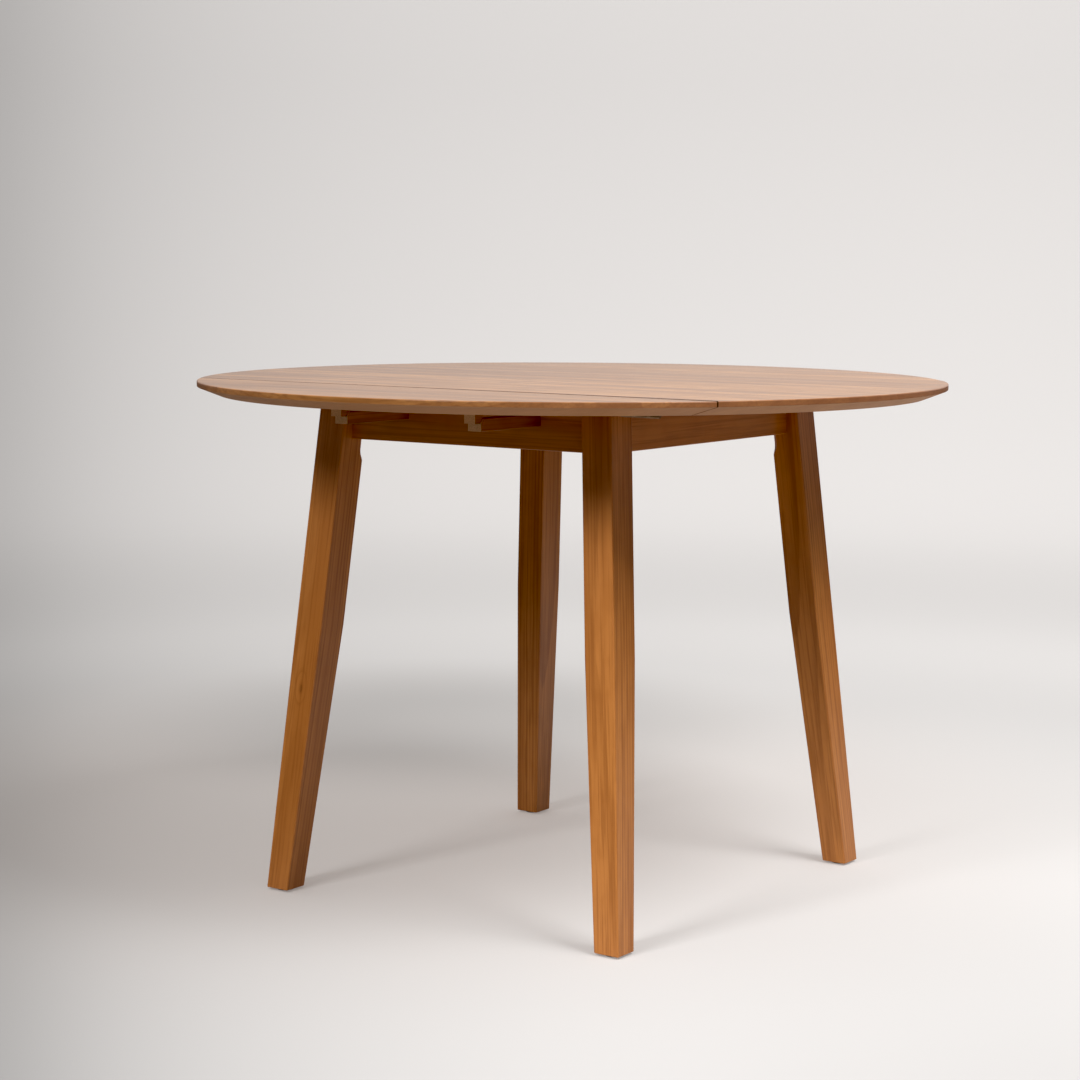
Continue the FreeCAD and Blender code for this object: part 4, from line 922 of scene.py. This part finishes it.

# The paper's glow is painted light: warmer on the left of the table for the light bounced off the wood,
# weaker in a ring round it, and weaker in a spot behind it as a painted shadow of the table.
outward = length_node(tree, place)
shade_far = length_node(tree, vector_node(tree, "SUBTRACT", place, SHADE_SPOT))
warm_far = length_node(tree, vector_node(tree, "SUBTRACT", place, WARM_SPOT))
glow_tint = blend(tree, ramp(tree, warm_far, 0.5, 1.5), WARM_GLOW_TINT, GLOW_TINT)
left_glow_tint = blend(tree, 1.0, glow_tint, [LEFT_SHARE] * 3, "MULTIPLY")
tree.links.new(blend(tree, lit, left_glow_tint, glow_tint), shader.inputs["Emission Color"])
glow = math_node(tree, "MULTIPLY_ADD", ramp(tree, outward, 0.6, 2.6), GLOW_FAR - GLOW_NEAR, GLOW_NEAR)
dip = math_node(tree, "MULTIPLY", ramp(tree, outward, 0.7, 2.0), ramp(tree, outward, 5.4, 2.8))
glow = math_node(tree, "MULTIPLY_ADD", dip, -GLOW_DIP, glow)
shade = math_node(tree, "MULTIPLY_ADD", ramp(tree, shade_far, 0.8, 0.15), -SHADE_DEPTH, 1.0)
glow = math_node(tree, "MULTIPLY", glow, shade)
tree.links.new(glow, shader.inputs["Emission Strength"])
paper.cycles.emission_sampling = "NONE"
shader.inputs["Roughness"].default_value = 0.9
shader.inputs["Specular IOR Level"].default_value = 0.1

# What the table gets back from the paper: most from near its feet, less from the right, and in its lacquer
# a dimmer image of the low paper on either side.
near = ramp(tree, length_node(tree, vector_node(tree, "SUBTRACT", place, BOUNCE_SPOT)), 1.7, 0.5)
right_loss = math_node(tree, "MULTIPLY_ADD", ramp(tree, aside, 0.5, 1.3), -0.6, 1.0)
near = math_node(tree, "MULTIPLY", near, right_loss)
dim = add(tree, "ShaderNodeBsdfDiffuse", {"Color": blend(tree, near, BOUNCE_FAR, BOUNCE_NEAR)})
path = add(tree, "ShaderNodeLightPath").outputs
beyond = math_node(tree, "MAXIMUM", ramp(tree, aside, 1.8, 2.6), ramp(tree, aside, -0.6, -1.3))
low = ramp(tree, add(tree, "ShaderNodeSeparateXYZ", {0: place}).outputs["Z"], 0.8, 0.6)
beyond = math_node(tree, "MULTIPLY", beyond, low)
mirrored = math_node(tree, "MULTIPLY", path["Is Glossy Ray"], beyond)
shaded = math_node(tree, "MAXIMUM", path["Is Diffuse Ray"], mirrored)
both = add(tree, "ShaderNodeMixShader", {0: shaded, 1: shader.outputs[0], 2: dim.outputs[0]})
tree.links.new(both.outputs[0], tree.nodes["Material Output"].inputs["Surface"])
mesh.materials.append(paper)


def soft_light(name, place, aim, size, spread, power):
    """A square soft box with a grid: it stands at a place, looks at another and fades to the sides."""
    light = bpy.data.lights.new(name, "AREA")
    light.size = size
    light.spread = math.radians(spread)
    light.energy = power
    lamp = bpy.data.objects.new(name, light)
    lamp.location = place
    lamp.rotation_mode = "QUATERNION"
    lamp.rotation_quaternion = (Vector(place) - Vector(aim)).to_track_quat("Z", "Y")
    bpy.context.scene.collection.objects.link(lamp)


soft_light("left_soft_box", place=(-0.23, -3.23, 2.68), aim=(0.55, -0.20, 0.30), size=0.95, spread=50,
           power=9.2)
soft_light("right_soft_box", place=(2.14, -0.15, 3.39), aim=(0.30, 0.60, 0.30), size=1.5, spread=80,
           power=28.5)
world = bpy.data.worlds.new("studio_fill")
world.use_nodes = True
fill = world.node_tree.nodes["Background"].inputs
fill["Color"].default_value = (1.0, 0.985, 0.97, 1.0)
fill["Strength"].default_value = 1.1
bpy.context.scene.world = world
view = bpy.context.scene.view_settings
view.view_transform = "Standard"
view.use_curve_mapping = True
view.curve_mapping.black_level = [BLACK_LEVEL] * 3
view.curve_mapping.update()

# Camera: where the photograph was taken from, with its lens, as a pinhole camera fits the table's edges.
# It looks down a little and is rolled by a quarter of a degree.
CAMERA_DIP = math.radians(6.704)
CAMERA_ROLL = math.radians(0.249)
camera_data = bpy.data.cameras.new("camera")
camera_data.sensor_width = 36.0
camera_data.lens = 82.11
camera = bpy.data.objects.new("camera", camera_data)
bpy.context.scene.collection.objects.link(camera)
quarter = math.radians(90)
look = Euler((quarter - CAMERA_DIP, 0, CAMERA_TURN - quarter)).to_matrix()
camera.rotation_mode = "QUATERNION"
camera.rotation_quaternion = (look @ Matrix.Rotation(CAMERA_ROLL, 3, "Z")).to_quaternion()
camera.location = CAMERA_PLACE
bpy.context.scene.camera = camera
